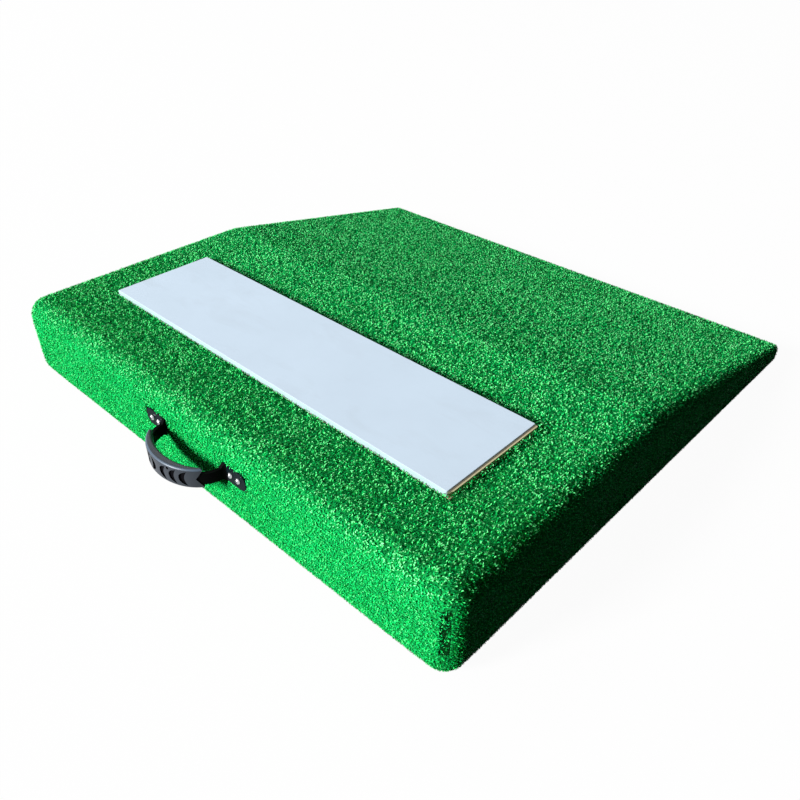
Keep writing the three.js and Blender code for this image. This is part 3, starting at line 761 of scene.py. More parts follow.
# Node group: true where a place lies in a box, whose sides may be ragged
def buildInsideBox():
    tree, given, result = newTree("insideBox", "GeometryNodeTree", [
        ("Low", "NodeSocketVector", (0, 0, 0)), ("High", "NodeSocketVector", (1, 1, 1)),
        ("Ragged", "NodeSocketFloat", 0.0),
    ], [("Inside", "NodeSocketBool")])
    exact = outputOf(tree, "GeometryNodeInputPosition")
    noise = addNode(tree, "ShaderNodeTexNoise", {
        "Vector": exact, "Scale": pile["raggedScale"], "Detail": 2.0,
    }).outputs["Color"]
    swing = vectorOf(tree, "SUBTRACT", noise, (0.5, 0.5, 0.5))
    swing = scaleOf(tree, swing, mathOf(tree, "MULTIPLY", given["Ragged"], 2.0))
    place = vectorOf(tree, "ADD", exact, swing)
    above = vectorOf(tree, "SUBTRACT", place, given["Low"])
    below = vectorOf(tree, "SUBTRACT", given["High"], place)
    least = leastOf(tree, partsOf(tree, vectorOf(tree, "MINIMUM", above, below)))
    inside = outputOf(tree, "FunctionNodeCompare", {
        0: least, 1: 0.0,
    }, data_type="FLOAT", operation="GREATER_THAN")
    tree.links.new(inside, result["Inside"])
    return tree


# Node group: moves what has strayed into a box out through its nearest side
def buildPushOut():
    tree, given, result = newTree("pushOut", "GeometryNodeTree", [
        ("Geometry", "NodeSocketGeometry", None),
        ("Low", "NodeSocketVector", (0, 0, 0)), ("High", "NodeSocketVector", (1, 1, 1)),
    ], [("Geometry", "NodeSocketGeometry")])
    place = outputOf(tree, "GeometryNodeInputPosition")
    middle = scaleOf(tree, vectorOf(tree, "ADD", given["Low"], given["High"]), 0.5)
    half = vectorOf(tree, "SUBTRACT", given["High"], middle)
    away = vectorOf(tree, "SUBTRACT", place, middle)
    depth = partsOf(tree, vectorOf(tree, "SUBTRACT", half, vectorOf(tree, "ABSOLUTE", away)))
    least = leastOf(tree, depth)
    chosen = [mathOf(tree, "LESS_THAN", part, mathOf(tree, "ADD", least, 1e-7)) for part in depth]
    mask = outputOf(tree, "ShaderNodeCombineXYZ", dict(enumerate(chosen)))
    step = vectorOf(tree, "MULTIPLY", vectorOf(tree, "SIGN", away), mask)
    moved = addNode(tree, "GeometryNodeSetPosition", {
        "Geometry": given["Geometry"],
        "Offset": scaleOf(tree, step, mathOf(tree, "MAXIMUM", least, 0.0)),
    })
    tree.links.new(moved.outputs[0], result["Geometry"])
    return tree


# How far the pile is heaped up against the rubber
def heapOf(tree, place):
    x, y = partsOf(tree, place)[:2]
    ledge, reach = turf["ledge"], pile["heapReach"]
    pastEnd = mathOf(tree, "SUBTRACT", x, rubberHigh.x)
    pastSide = mathOf(tree, "SUBTRACT", y, rubberHigh.y)
    rise = rangeOf(tree, x, rubberHigh.x - ledge, rubberHigh.x + ledge, pile["heapRise"], pile["heapEnd"])
    heap = rangeOf(tree, mathOf(tree, "MAXIMUM", pastEnd, pastSide), reach, ledge, 0.0, rise, smooth=True)
    for along, start in ((x, rubberLow.x), (y, rubberLow.y)):
        fade = rangeOf(tree, along, start - reach, start + reach, smooth=True)
        heap = mathOf(tree, "MULTIPLY", heap, fade)
    away = mathOf(tree, "ABSOLUTE", mathOf(tree, "SUBTRACT", y, rubberLow.y))
    near = rangeOf(tree, away, reach, 0.0, 0.0, pile["heapNear"], smooth=True)
    for end, outwards in ((rubberLow.x, -1), (rubberHigh.x, 1)):
        near = mathOf(tree, "MULTIPLY", near, rangeOf(tree, x, end + outwards * reach, end, smooth=True))
    apart = addNode(tree, "ShaderNodeVectorMath", {
        0: vectorOf(tree, "MULTIPLY", place, (1, 1, 0)), 1: (rubberHigh.x + ledge / 2, rubberLow.y, 0),
    }, operation="DISTANCE").outputs["Value"]
    corner = rangeOf(tree, apart, pile["cornerReach"], pile["cornerCore"], 0.0, pile["heapEnd"], smooth=True)
    return mathOf(tree, "MAXIMUM", mathOf(tree, "MAXIMUM", heap, near), corner)


# Stands each blade off the skin, leaning by region, swirled, tilted and spun at random
def bladeTurn(tree, place, normal, share, leanShare):
    leaning = scaleOf(tree, mixOf(tree, "VECTOR", share, pile["leanBack"], pile["leanFront"]), leanShare)
    eddy = addNode(tree, "ShaderNodeTexNoise", {
        "Vector": place, "Scale": pile["swirlScale"], "Detail": 2.0,
    }).outputs["Color"]
    swirl = scaleOf(tree, vectorOf(tree, "SUBTRACT", eddy, (0.5, 0.5, 0.5)), 2 * pile["swirl"])
    tilt = outputOf(tree, "FunctionNodeRandomValue", {
        "Min": (-pile["tilt"],) * 3, "Max": (pile["tilt"],) * 3, "Seed": 11,
    }, data_type="FLOAT_VECTOR")
    stand = vectorOf(tree, "ADD", vectorOf(tree, "ADD", normal, leaning), vectorOf(tree, "ADD", swirl, tilt))
    upright = outputOf(tree, "FunctionNodeAlignRotationToVector", {"Vector": stand}, axis="Z")
    spin = addNode(tree, "FunctionNodeRandomValue", {
        "Min": 0.0, "Max": 2 * math.pi, "Seed": 12,
    }, data_type="FLOAT").outputs[1]
    return spunOf(tree, upright, spin)


# Shade of each blade, from its place in its tuft, the tuft and chance; darker towards a tuft's rim as painted
# shade in the gaps between tufts
def bladeShade(tree, place):
    tuft = addNode(tree, "ShaderNodeTexVoronoi", {"Vector": place, "Scale": 1 / pile["tuftPitch"]}).outputs
    dome = rangeOf(tree, tuft["Distance"], pile["tuftRim"], pile["tuftCore"], smooth=True)
    own = addNode(tree, "FunctionNodeRandomValue", {"Seed": 13}, data_type="FLOAT").outputs[1]
    shared = mathOf(
        tree, "ADD", mathOf(tree, "MULTIPLY", dome, pile["domeShare"]),
        mathOf(tree, "MULTIPLY", partsOf(tree, tuft["Color"])[0], pile["tuftShare"]),
    )
    ownShare = 1 - pile["domeShare"] - pile["tuftShare"]
    return mathOf(tree, "ADD", shared, mathOf(tree, "MULTIPLY", own, ownShare))


def buildPileTree(insideBox, pushOut, bareBoxes, solidBoxes):
    tree, given, result = newTree("turfPile", "GeometryNodeTree", [
        ("Geometry", "NodeSocketGeometry", None),
        ("Blades", "NodeSocketCollection", None),
        ("Spacing", "NodeSocketFloat", pile["spacing"]),
        ("Height", "NodeSocketFloat", 1.0),
        ("Lean", "NodeSocketFloat", 1.0),
        ("Seed", "NodeSocketInt", 1),
        ("Finish", "NodeSocketMaterial", None),
    ], [("Geometry", "NodeSocketGeometry")])
    spread = addNode(tree, "GeometryNodeDistributePointsOnFaces", {
        "Mesh": given["Geometry"], "Distance Min": given["Spacing"],
        "Density Max": pile["density"], "Seed": given["Seed"],
    }, distribute_method="POISSON").outputs
    kept = addNode(tree, "GeometryNodeCaptureAttribute", domain="POINT")
    kept.capture_items.new("VECTOR", "Normal")
    tree.links.new(spread["Points"], kept.inputs["Geometry"])
    tree.links.new(spread["Normal"], kept.inputs["Normal"])
    points, normal = kept.outputs["Geometry"], kept.outputs["Normal"]
    for low, high, ragged in bareBoxes:
        inside = outputOf(tree, "GeometryNodeGroup", {
            "Low": low, "High": high, "Ragged": ragged,
        }, node_tree=insideBox)
        points = outputOf(tree, "GeometryNodeDeleteGeometry", {
            "Geometry": points, "Selection": inside,
        }, domain="POINT")
    place = outputOf(tree, "GeometryNodeInputPosition")
    points = outputOf(tree, "GeometryNodeSetPosition", {
        "Geometry": points, "Offset": alongZ(tree, heapOf(tree, place)),
    })
    y, z = partsOf(tree, place)[1:]
    share = rangeOf(tree, y, pile["leanFrom"], pile["leanTo"], smooth=True)
    shade = bladeShade(tree, place)
    size = rangeOf(tree, shade, 0.0, 1.0, pile["shortest"], pile["tallest"])
    foot = rangeOf(tree, z, 0.0, pile["footRise"], pile["footShare"])
    laid = rangeOf(tree, share, 0.0, 1.0, 1.0, pile["slopeShare"])
    height = mathOf(tree, "MULTIPLY", mathOf(tree, "MULTIPLY", size, foot), given["Height"])
    wide = mathOf(tree, "SQRT", foot)
    scale = outputOf(tree, "ShaderNodeCombineXYZ", {
        0: wide, 1: wide, 2: mathOf(tree, "MULTIPLY", height, laid),
    })
    # The spread of each blade's tone is set by how light falls on its part of the skin, painted light and
    # shade: wide on the level part and the slope, narrow on the walls
    onTop = rangeOf(tree, share, 0.0, 1.0, pile["levelLightSpread"], pile["slopeLightSpread"])
    upward = partsOf(tree, normal)[2]
    contrast = rangeOf(tree, upward, pile["evenFrom"], pile["evenTo"], pile["wallLightSpread"], onTop)
    wearAndLightTone = mathOf(tree, "MULTIPLY", mathOf(tree, "SUBTRACT", shade, 0.5), contrast)
    toned = outputOf(tree, "GeometryNodeStoreNamedAttribute", {
        "Geometry": points, "Name": "bladeShade", "Value": mathOf(tree, "ADD", wearAndLightTone, 0.5),
    }, data_type="FLOAT", domain="POINT")
    chosen = addNode(tree, "FunctionNodeRandomValue", {
        "Min": 0, "Max": len(blade["curls"]) - 1, "Seed": 14,
    }, data_type="INT").outputs[2]
    curls = outputOf(tree, "GeometryNodeCollectionInfo", {
        "Collection": given["Blades"], "Separate Children": True, "Reset Children": True,
    })
    blades = outputOf(tree, "GeometryNodeInstanceOnPoints", {
        "Points": toned, "Instance": curls, "Pick Instance": True, "Instance Index": chosen,
        "Rotation": bladeTurn(tree, place, normal, share, given["Lean"]), "Scale": scale,
    })
    whole = outputOf(tree, "GeometryNodeRealizeInstances", {"Geometry": blades})
    for low, high in solidBoxes:
        whole = outputOf(tree, "GeometryNodeGroup", {
            "Geometry": whole, "Low": low, "High": high,
        }, node_tree=pushOut)
    tip = partsOf(tree, outputOf(tree, "GeometryNodeInputPosition"))
    raised = outputOf(tree, "ShaderNodeCombineXYZ", {
        0: tip[0], 1: tip[1], 2: mathOf(tree, "MAXIMUM", tip[2], pile["floor"]),
    })
    standing = outputOf(tree, "GeometryNodeSetPosition", {"Geometry": whole, "Position": raised})
    return endTree(tree, given, result, standing)


# Grows a tree on a piece and makes the result its plain mesh
def growNodes(piece, tree, values):
    step = piece.modifiers.new(tree.name, "NODES")
    step.node_group = tree
    for item in tree.interface.items_tree:
        if item.item_type == "SOCKET" and item.in_out == "INPUT" and item.name in values:
            step[item.identifier] = values[item.name]
    return freeze(piece)


# Which piece of pile a face of the skin belongs to
def pileRegion(face):
    normal, centre = face.normal, face.calc_center_median()
    side = "left" if centre.x < 0 else "right"
    if normal.z < pile["hemTilt"]:
        return "pile_hem"
    if abs(normal.x) > pile["sideTilt"]:
        return f"pile_{side}_side"
    if normal.y < -pile["sideTilt"]:
        return "pile_back"
    if centre.y < breakLine:
        return f"pile_platform_{side}"
    return f"pile_slope_{side}" if centre.y < slopeSplit else f"pile_toe_{side}"


def makePile():
    blades = makeBlades()
    bare = [rubberBox(turf["rubberGap"]), *tabBoxes(turf["tabGap"], turf["tabFront"])]
    bare = [(*box, 0.0) for box in bare] + [(*box, turf["seamRagged"]) for box in seamBoxes()]
    window = Vector((turfHigh.x - turf["hemWidth"], turfHigh.y - turf["hemWidth"], 0.003))
    bare.append((-window, window, 0.0))
    solid = [rubberBox(turf["bladeGap"]), *tabBoxes(turf["bladeGap"], 0.0)]
    tree = buildPileTree(buildInsideBox(), buildPushOut(), bare, solid)
    whole = wedgeShape(turf["pileHeight"], turf["hemPile"])
    regions = {}
    for face in whole.faces:
        regions.setdefault(pileRegion(face), []).append([tuple(vertex.co) for vertex in face.verts])
    whole.free()
    count = 0
    pieces = []
    for seed, (name, polygons) in enumerate(sorted(regions.items())):
        vertices = [point for polygon in polygons for point in polygon]
        starts = np.cumsum([0] + [len(polygon) for polygon in polygons])
        faces = [tuple(range(starts[k], starts[k + 1])) for k in range(len(polygons))]
        piece = meshObject(name, vertices, faces, [pileGreen])
        hem = name == "pile_hem"
        growNodes(piece, tree, {
            "Blades": blades, "Seed": seed + 1, "Finish": pileGreen,
            "Height": pile["hemShare"] if hem else 1.0, "Lean": 0.0 if hem else 1.0,
            "Spacing": pile["hemSpacing"] * pile["spacing"] if hem else pile["spacing"],
        })
        triangles = sum(len(face.vertices) - 2 for face in piece.data.polygons)
        count += triangles
        print(name, triangles, "triangles")
        pieces.append(finishPiece(piece))
    for made in list(blades.objects):
        bpy.data.objects.remove(made)
    bpy.data.collections.remove(blades)
    print("pile made:", count, "triangles")
    return pieces


turfSkin = makeSkin()
turfPile = makePile()


# Pitching rubber: a white slab with eased edges on a tan base with a slanted lip at one end; the slab's sides
# and the lip's slant are painted darker, as shade
rubberLook = {
    "cornerRadius": 0.002,
    "edgeRound": 0.0013,
    "sunk": 0.0025,  # of the slab, below the pile tips
    "sideTilt": 0.75,  # upward part of a face's normal, below which it is a side
    "lipDrop": 0.0008,  # below the slab's top, where the lip starts
    "lipSlant": 0.0016,  # width of its slanted part
    "lipFall": 0.0006,
    "lipTaper": 0.006,  # length over which it widens from the near corner
    "baseInset": 0.0010,  # on the sides without a lip
    "cutGap": 0.0001,
    "cutReach": 0.05,
}


# Rounds the edges of a prism where its flat ends meet its sides
def easeRims(piece, width, steps):
    def ease(shape):
        flat = [abs(face.normal.z) > 0.99 for face in shape.faces]
        shape.faces.index_update()
        rims = [line for line in shape.edges if len({flat[face.index] for face in line.link_faces}) == 2]
        bmesh.ops.bevel(shape, geom=rims, offset=width, segments=steps, profile=0.5, affect="EDGES")

    return reshape(piece, ease)


def softShade(piece, degrees):
    mesh = piece.data
    mesh.polygons.foreach_set("use_smooth", [True] * len(mesh.polygons))
    mesh.set_sharp_from_angle(angle=math.radians(degrees))
    step = piece.modifiers.new("evenNormals", "WEIGHTED_NORMAL")
    step.keep_sharp = True
    step.weight = 100
    return freeze(piece)


def makeRubber():
    middle = (rubberLow + rubberHigh) / 2
    half = (rubberHigh - rubberLow) / 2
    outline = roundedRectangle(half.x, half.y, rubberLook["cornerRadius"], 6)
    under = turfHigh.z - rubberLook["sunk"]
    slab = prismObject(
        "rubber_slab", [(middle.x + x, middle.y + y) for x, y in outline], under, rubberHigh.z, [whiteRubber],
    )
    easeRims(slab, rubberLook["edgeRound"], 3)
    # The slab's sides take a darker grey copy of its white, painted shade
    slab.data.materials.append(rubberSide)
    for face in slab.data.polygons:
        face.material_index = int(abs(face.normal.z) < rubberLook["sideTilt"])
    finishPiece(softShade(slab, 50), ["pitching_rubber"])
    gap, far = rubberLook["cutGap"], rubberLook["cutReach"]
    inset, proud = rubberLook["baseInset"], turf["ledge"]
    shift = middle.x + (proud + inset) / 2
    foot = roundedRectangle(half.x + (proud - inset) / 2, half.y - inset, rubberLook["cornerRadius"], 6)
    lipTop = rubberHigh.z - rubberLook["lipDrop"]
    lipLow = lipTop - rubberLook["lipFall"]
    base = prismObject(
        "rubber_base", [(shift + x, middle.y + y) for x, y in foot], rubberLow.z, lipTop, [tanBase],
    )
    overSlab = boxObject(
        "overSlab", (rubberLow.x - far, rubberLow.y - far, under - gap),
        (rubberHigh.x + gap, rubberHigh.y + far, lipTop + far), tanBase,
    )
    # The lip's slant takes a darker brown copy of the tan, painted shade
    end = rubberHigh.x + rubberLook["lipSlant"]
    slant = [(rubberHigh.x, lipTop), (end, lipLow), (end + gap, lipLow + far), (rubberHigh.x, lipLow + far)]
    turned = Matrix(((1, 0, 0, 0), (0, 0, -1, 0), (0, 1, 0, 0), (0, 0, 0, 1)))
    overLip = prismObject("overLip", slant, -far - half.y, far + half.y, [brownEdge])
    overLip.data.transform(Matrix.Translation((0, middle.y, 0)) @ turned)
    overEnd = boxObject(
        "overEnd", (end, rubberLow.y - far, lipLow), (end + far, rubberHigh.y + far, lipLow + far), tanBase,
    )
    near, rate = rubberLow.y + inset, rubberLook["lipTaper"] / proud
    startX, stopX = rubberHigh.x + gap, rubberHigh.x + far
    taper = [(startX, near - far), (stopX, near - far), (stopX, near + far * rate), (startX, near)]
    overNear = prismObject("overNear", taper, under - gap, lipTop + far, [tanBase])
    carve(base, [overSlab, overLip, overEnd, overNear])
    finishPiece(softShade(base, 30))


# Carrying handle: a black strap bowed out from two tabs, with a grey moulded grip
gripLow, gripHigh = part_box("handle_grip")
handle = {
    "strapThickness": 0.004,
    "strapBend": 0.006,
    "legReach": 0.0575,
    "bowShift": 0.001,
    "legTop": 0.0062,
    "legBottom": 0.0088,
    "trimGap": 0.0005,
    "trimRamp": 0.004,
    "trimReach": 0.08,
    "coreHeight": 0.012,
    "tabCorner": 0.010,
    "gripAngle": 28.0,
    "gripWall": 0.0034,
    "gripEndWall": 0.0008,
    "gripRound": 0.0034,
    "rimTilts": (0.2, 0.9),  # upward part of a face's normal, on the upper rim painted as a highlight
    "channelStart": 0.02,
    "tongueLength": 0.008,
    "tongueSpread": 1.5,
    "slotAngles": [56, 69, 83],
    "slotHeight": 0.0196,
    "slotWidth": 0.0070,
    "slotBow": 0.0074,
    "slotRound": 0.94,  # of a half circle, in the bow of a slot
    "slotDepth": 0.0018,
    "dotAngles": [73],
    "dotRadius": 0.0019,
    "dotRise": 0.0086,
    "seatGap": 0.0003,
    "edgeEase": 0.0005,
    "bowSteps": 48,
    "bendSteps": 8,
}
strapHeight = strapHigh.z - strapLow.z
tabReach = (strapHigh.x - strapLow.x) / 2
tabBack = strapHigh.y - turfLow.y
gripThickness = handle["strapThickness"] + 2 * handle["gripWall"]
bowFoot = tabBack - handle["strapThickness"] / 2 - handle["strapBend"]
bowReach = turfLow.y - gripLow.y - gripThickness / 2 + bowFoot
handleOrigin = Vector((handleMiddle.x + handle["bowShift"], turfLow.y, handleMiddle.z))
gripStart = math.radians(handle["gripAngle"])


def bowPoint(angle):
    return Vector((handle["legReach"] * math.cos(angle), bowFoot - bowReach * math.sin(angle)))


def bowOutward(angle):
    return Vector((bowReach * math.cos(angle), -handle["legReach"] * math.sin(angle))).normalized()


def bowFaces(start, stop, halfThickness):
    angles = np.linspace(start, stop, handle["bowSteps"] + 1)
    return [[bowPoint(a) + side * halfThickness(a) * bowOutward(a) for a in angles] for side in (1, -1)]


# A bar between two rows of (x, y) points, drawn along Z
def barObject(name, outer, inner, low, high, materials):
    count = len(outer)
    vertices = [(x, y, z) for z in (low, high) for row in (outer, inner) for x, y in row]
    faces = []
    for k in range(count - 1):
        a, b, c, d = (k + count * row for row in range(4))
        faces += [(a, a + 1, b + 1, b), (d, d + 1, c + 1, c), (c, c + 1, a + 1, a), (b, b + 1, d + 1, d)]
    faces += [(0, count, 3 * count, 2 * count), (count - 1, 3 * count - 1, 4 * count - 1, 2 * count - 1)]
    return reshape(meshObject(name, vertices, faces, materials), faceOutwards)


# Tab, bend and leg on one side, up to an angle along the bow
def legRows(side, stop):
    half = handle["strapThickness"] / 2
    bendX = handle["legReach"] + handle["strapBend"]
    quarter = np.linspace(math.pi / 2, math.pi, handle["bendSteps"] + 1)

    def bend(radius):
        return [Vector((bendX + radius * math.cos(a), bowFoot + radius * math.sin(a))) for a in quarter]

    outer, inner = bowFaces(0, stop, lambda angle: half)
    tip = tabReach - side * handle["bowShift"]
    hollow = [Vector((tip, tabBack))] + bend(handle["strapBend"] + half) + inner[1:]
    crown = [Vector((tip, tabBack - 2 * half))] + bend(handle["strapBend"] - half) + outer[1:]
    return [[(side * point.x, point.y) for point in row] for row in (crown, hollow)]


# Moves a piece that was drawn about the handle's middle to its place
def toHandle(piece):
    piece.data.transform(Matrix.Translation(handleOrigin))
    return piece


# A flat outline of (towards the bow's middle, up) points, drawn through the bow square to its face
def throughBow(name, points, angle, low, high, material):
    outward = bowOutward(angle)
    towards = -1 if angle < math.pi / 2 else 1
    piece = prismObject(name, [(x * towards, y) for x, y in points], low, high, [material])
    along = Vector((-outward.y, outward.x, 0))
    foot = bowPoint(angle)
    place = Matrix((along, Vector((0, 0, 1)), Vector((*outward, 0)))).transposed().to_4x4()
    place.translation = Vector((*foot, 0))
    piece.data.transform(place)
    return piece


def tongueEdge(shift):
    spread = strapHeight / 2 * handle["tongueSpread"]
    back = handle["tongueLength"] * (1 - handle["tongueSpread"]) + shift
    return [(back, spread), (handle["tongueLength"] + shift, 0), (back, -spread)]


def slotOutline():
    half, bow, curve = handle["slotWidth"] / 2, handle["slotBow"], handle["slotRound"]
    rows = []
    for side in (1, -1):
        row = []
        for u in np.linspace(-1, 1, 15):
            middle = -bow * (1 - math.sqrt(1 - (curve * u) ** 2)) / (1 - math.sqrt(1 - curve ** 2))
            row.append((middle + side * half * (1 - u ** 4), u * handle["slotHeight"] / 2))
        rows.append(row)
    return rows[0] + rows[1][1:-1][::-1]


def bothHalves(degrees):
    return [math.radians(value) for angle in degrees for value in (angle, 180 - angle)]


def easeEdges(piece, width, degrees):
    step = piece.modifiers.new("easedEdges", "BEVEL")
    step.width = width
    step.segments = 2
    step.limit_method = "ANGLE"
    step.angle_limit = math.radians(degrees)
    return freeze(piece)


# Cuts the legs down above and below, so that they are narrower than the tabs
def legTrims():
    gap, ramp, far = handle["trimGap"], handle["trimRamp"], handle["trimReach"]
    tab = strapHeight / 2 + gap
    trims = []
    for side, reach in [(1, handle["legTop"]), (-1, handle["legBottom"])]:
        outline = [(-far, reach), (-ramp, reach), (gap, tab), (gap, 2 * tab), (-far, 2 * tab)]
        trim = prismObject("legTrim", [(y, side * z) for y, z in outline], -0.1, 0.1, [blackPlastic])
        trim.data.transform(Matrix(((0, 0, 1, 0), (1, 0, 0, 0), (0, 1, 0, 0), (0, 0, 0, 1))))
        trims.append(trim)
    return trims


def makeStrap():
    half = handle["strapThickness"] / 2
    rate = math.hypot(handle["legReach"] * math.sin(gripStart), bowReach * math.cos(gripStart))
    stop = gripStart + handle["tongueLength"] / rate
    legs = [
        barObject("leg", *legRows(side, stop), -strapHeight / 2, strapHeight / 2, [blackPlastic])
        for side in (1, -1)
    ]
    past = 2 * handle["tongueLength"]
    spread = strapHeight / 2 * handle["tongueSpread"]
    for leg, angle in zip(legs, (gripStart, math.pi - gripStart)):
        cutter = throughBow(
            "tongueCut", tongueEdge(0) + [(past, -spread), (past, spread)], angle,
            -gripThickness, gripThickness, blackPlastic,
        )
        tabs = roundedRectangle(tabReach, strapHeight / 2, handle["tabCorner"], 8)
        tip = prismObject("tip", tabs, -0.02, 0.08, [blackPlastic])
        upright = Matrix.Rotation(math.pi / 2, 4, "X")
        tip.data.transform(Matrix.Translation((-handle["bowShift"], 0, 0)) @ upright)
        carve(leg, [cutter, *legTrims()])
        carve(leg, [tip], "INTERSECT")
    core = barObject(
        "handle_strap_dressed", *bowFaces(gripStart / 2, math.pi - gripStart / 2, lambda angle: half),
        -handle["coreHeight"] / 2, handle["coreHeight"] / 2, [blackPlastic],
    )
    strap = carve(core, legs, "UNION")
    easeEdges(strap, handle["edgeEase"], 40)
    # The tabs take a lighter bluish copy of the black plastic, a painted sheen
    strap.data.materials.append(tabPlastic)
    for face in strap.data.polygons:
        if abs(face.center.x + handle["bowShift"]) > handle["legReach"] + handle["strapBend"]:
            face.material_index = len(strap.data.materials) - 1
    toHandle(softShade(strap, 35))
    return finishPiece(strap, ["handle_strap"])


def makeGrip():
    span = math.pi - 2 * gripStart
    thin = handle["strapThickness"] + 2 * handle["gripEndWall"]

    def halfThickness(angle):
        swell = math.sin(math.pi * (angle - gripStart) / span)
        return (thin + (gripThickness - thin) * max(swell, 0)) / 2

    height = gripHigh.z - gripLow.z
    grip = barObject(
        "handle_grip_dressed", *bowFaces(gripStart, math.pi - gripStart, halfThickness),
        -height / 2, height / 2, [greyGrip],
    )
    easeRims(grip, handle["gripRound"], 4)
    gap = handle["seatGap"]
    start, deep = handle["channelStart"], handle["coreHeight"] / 2 + gap
    channel = barObject(
        "channel", *bowFaces(start, math.pi - start, lambda angle: handle["strapThickness"] / 2 + gap),
        -deep, deep, [slotBlack],
    )
    notchShift = gap * math.hypot(strapHeight / 2, handle["tongueLength"]) / (strapHeight / 2)
    cutters = [channel]
    # The notches' faces take the slots' black, painted shade in the gap against the strap's tongue
    for angle in (gripStart, math.pi - gripStart):
        cutters.append(throughBow(
            "notch", tongueEdge(notchShift), angle, -gripThickness, gripThickness, slotBlack,
        ))
    for angle in bothHalves(handle["slotAngles"]):
        floor = halfThickness(angle) - handle["slotDepth"]
        cutters.append(throughBow("slot", slotOutline(), angle, floor, floor + gripThickness, slotBlack))
    circle = roundedRectangle(handle["dotRadius"], handle["dotRadius"], handle["dotRadius"] * 0.999, 4)
    for angle in bothHalves(handle["dotAngles"]):
        floor = halfThickness(angle) - handle["slotDepth"]
        dot = [(x, y + handle["dotRise"]) for x, y in circle]
        cutters.append(throughBow("dot", dot, angle, floor, floor + gripThickness, slotBlack))
    carve(grip, cutters)
    # Forward faces of the upper rim take a lighter bluish grey, a painted highlight
    grip.data.materials.append(rubbedRim)
    least, most = handle["rimTilts"]
    for face in grip.data.polygons:
        if face.center.z > height / 2 - handle["gripRound"] and least < face.normal.z < most:
            if face.normal.y < 0 and face.material_index == 0:
                face.material_index = len(grip.data.materials) - 1
    toHandle(softShade(grip, 35))
    return finishPiece(grip, ["handle_grip"])


# Pan-head screws of the handle, one shape set at each node's place
screw = {
    "headProfile": [(0.0, 2.6), (1.2, 2.55), (2.2, 2.3), (3.0, 1.75), (3.5, 1.0), (3.7, 0.35), (3.7, 0.0)],
    "shankRadius": 0.0024,
    "sides": 24,
    "recessReach": 0.0020,
    "recessWidth": 0.0010,
    "recessDepth": 0.0012,
    "turns": [20.0, 65.0, 48.0, 5.0],
}


def makeScrewShape(length):
    profile = [(r * 0.001, h * 0.001) for r, h in screw["headProfile"]]
    profile += [(screw["shankRadius"], 0.0), (screw["shankRadius"], -length), (0.0, -length)]
    shape = bmesh.new()
    line = [shape.verts.new((r, 0, h)) for r, h in profile]
    edges = [shape.edges.new(pair) for pair in zip(line, line[1:])]
    bmesh.ops.spin(
        shape, geom=line + edges, cent=(0, 0, 0), axis=(0, 0, 1), angle=2 * math.pi, steps=screw["sides"],
    )
    bmesh.ops.remove_doubles(shape, verts=shape.verts, dist=1e-6)
    faceOutwards(shape)
    piece = fromBmesh("screwShape", shape, [brightScrew])
    top = screw["headProfile"][0][1] * 0.001
    reach, wide = screw["recessReach"], screw["recessWidth"] / 2
    bars = [
        boxObject("bar", (-x, -y, top - screw["recessDepth"]), (x, y, top + 0.002), brightScrew)
        for x, y in [(reach, wide), (wide, reach)]
    ]
    carve(piece, bars)
    return softShade(piece, 40)


def buildScrewTree():
    tree, given, result = newTree("handleScrews", "GeometryNodeTree", [
        ("Geometry", "NodeSocketGeometry", None),
        ("Screw", "NodeSocketObject", None),
        ("Finish", "NodeSocketMaterial", None),
    ], [("Geometry", "NodeSocketGeometry")])
    shape = addNode(tree, "GeometryNodeObjectInfo", {"Object": given["Screw"]}).outputs["Geometry"]
    spin = outputOf(tree, "GeometryNodeInputNamedAttribute", {"Name": "spin"}, data_type="FLOAT")
    outwards = outputOf(tree, "FunctionNodeEulerToRotation", {0: (math.pi / 2, 0, 0)})
    placed = outputOf(tree, "GeometryNodeInstanceOnPoints", {
        "Points": given["Geometry"], "Instance": shape, "Rotation": spunOf(tree, outwards, spin),
    })
    whole = outputOf(tree, "GeometryNodeRealizeInstances", {"Geometry": placed})
    return endTree(tree, given, result, whole)


def makeHandleScrews():
    names = [f"handle_screw_{place}" for place in range(1, 5)]
    boxes = [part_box(name) for name in names]
    headHeight = screw["headProfile"][0][1] * 0.001
    feet = [((low.x + high.x) / 2, low.y + headHeight, (low.z + high.z) / 2) for low, high in boxes]
    shape = makeScrewShape(boxes[0][1].y - boxes[0][0].y - headHeight)
    piece = meshObject("handle_screws", feet, [], [brightScrew])
    spins = piece.data.attributes.new("spin", "FLOAT", "POINT")
    spins.data.foreach_set("value", [math.radians(turn) for turn in screw["turns"]])
    growNodes(piece, buildScrewTree(), {"Screw": shape, "Finish": brightScrew})
    bpy.data.objects.remove(shape)
    return finishPiece(piece, names)


# Underside: a rubber sheet with ribs across it, in the window of the hem
sheetLow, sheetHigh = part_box("grip_sheet")
gripSheet = {
    "ribPitch": 0.006,
    "ribHeight": 0.0012,
    "ribWidth": 0.0036,
    "margin": 0.012,
    "cornerRadius": 0.028,
}


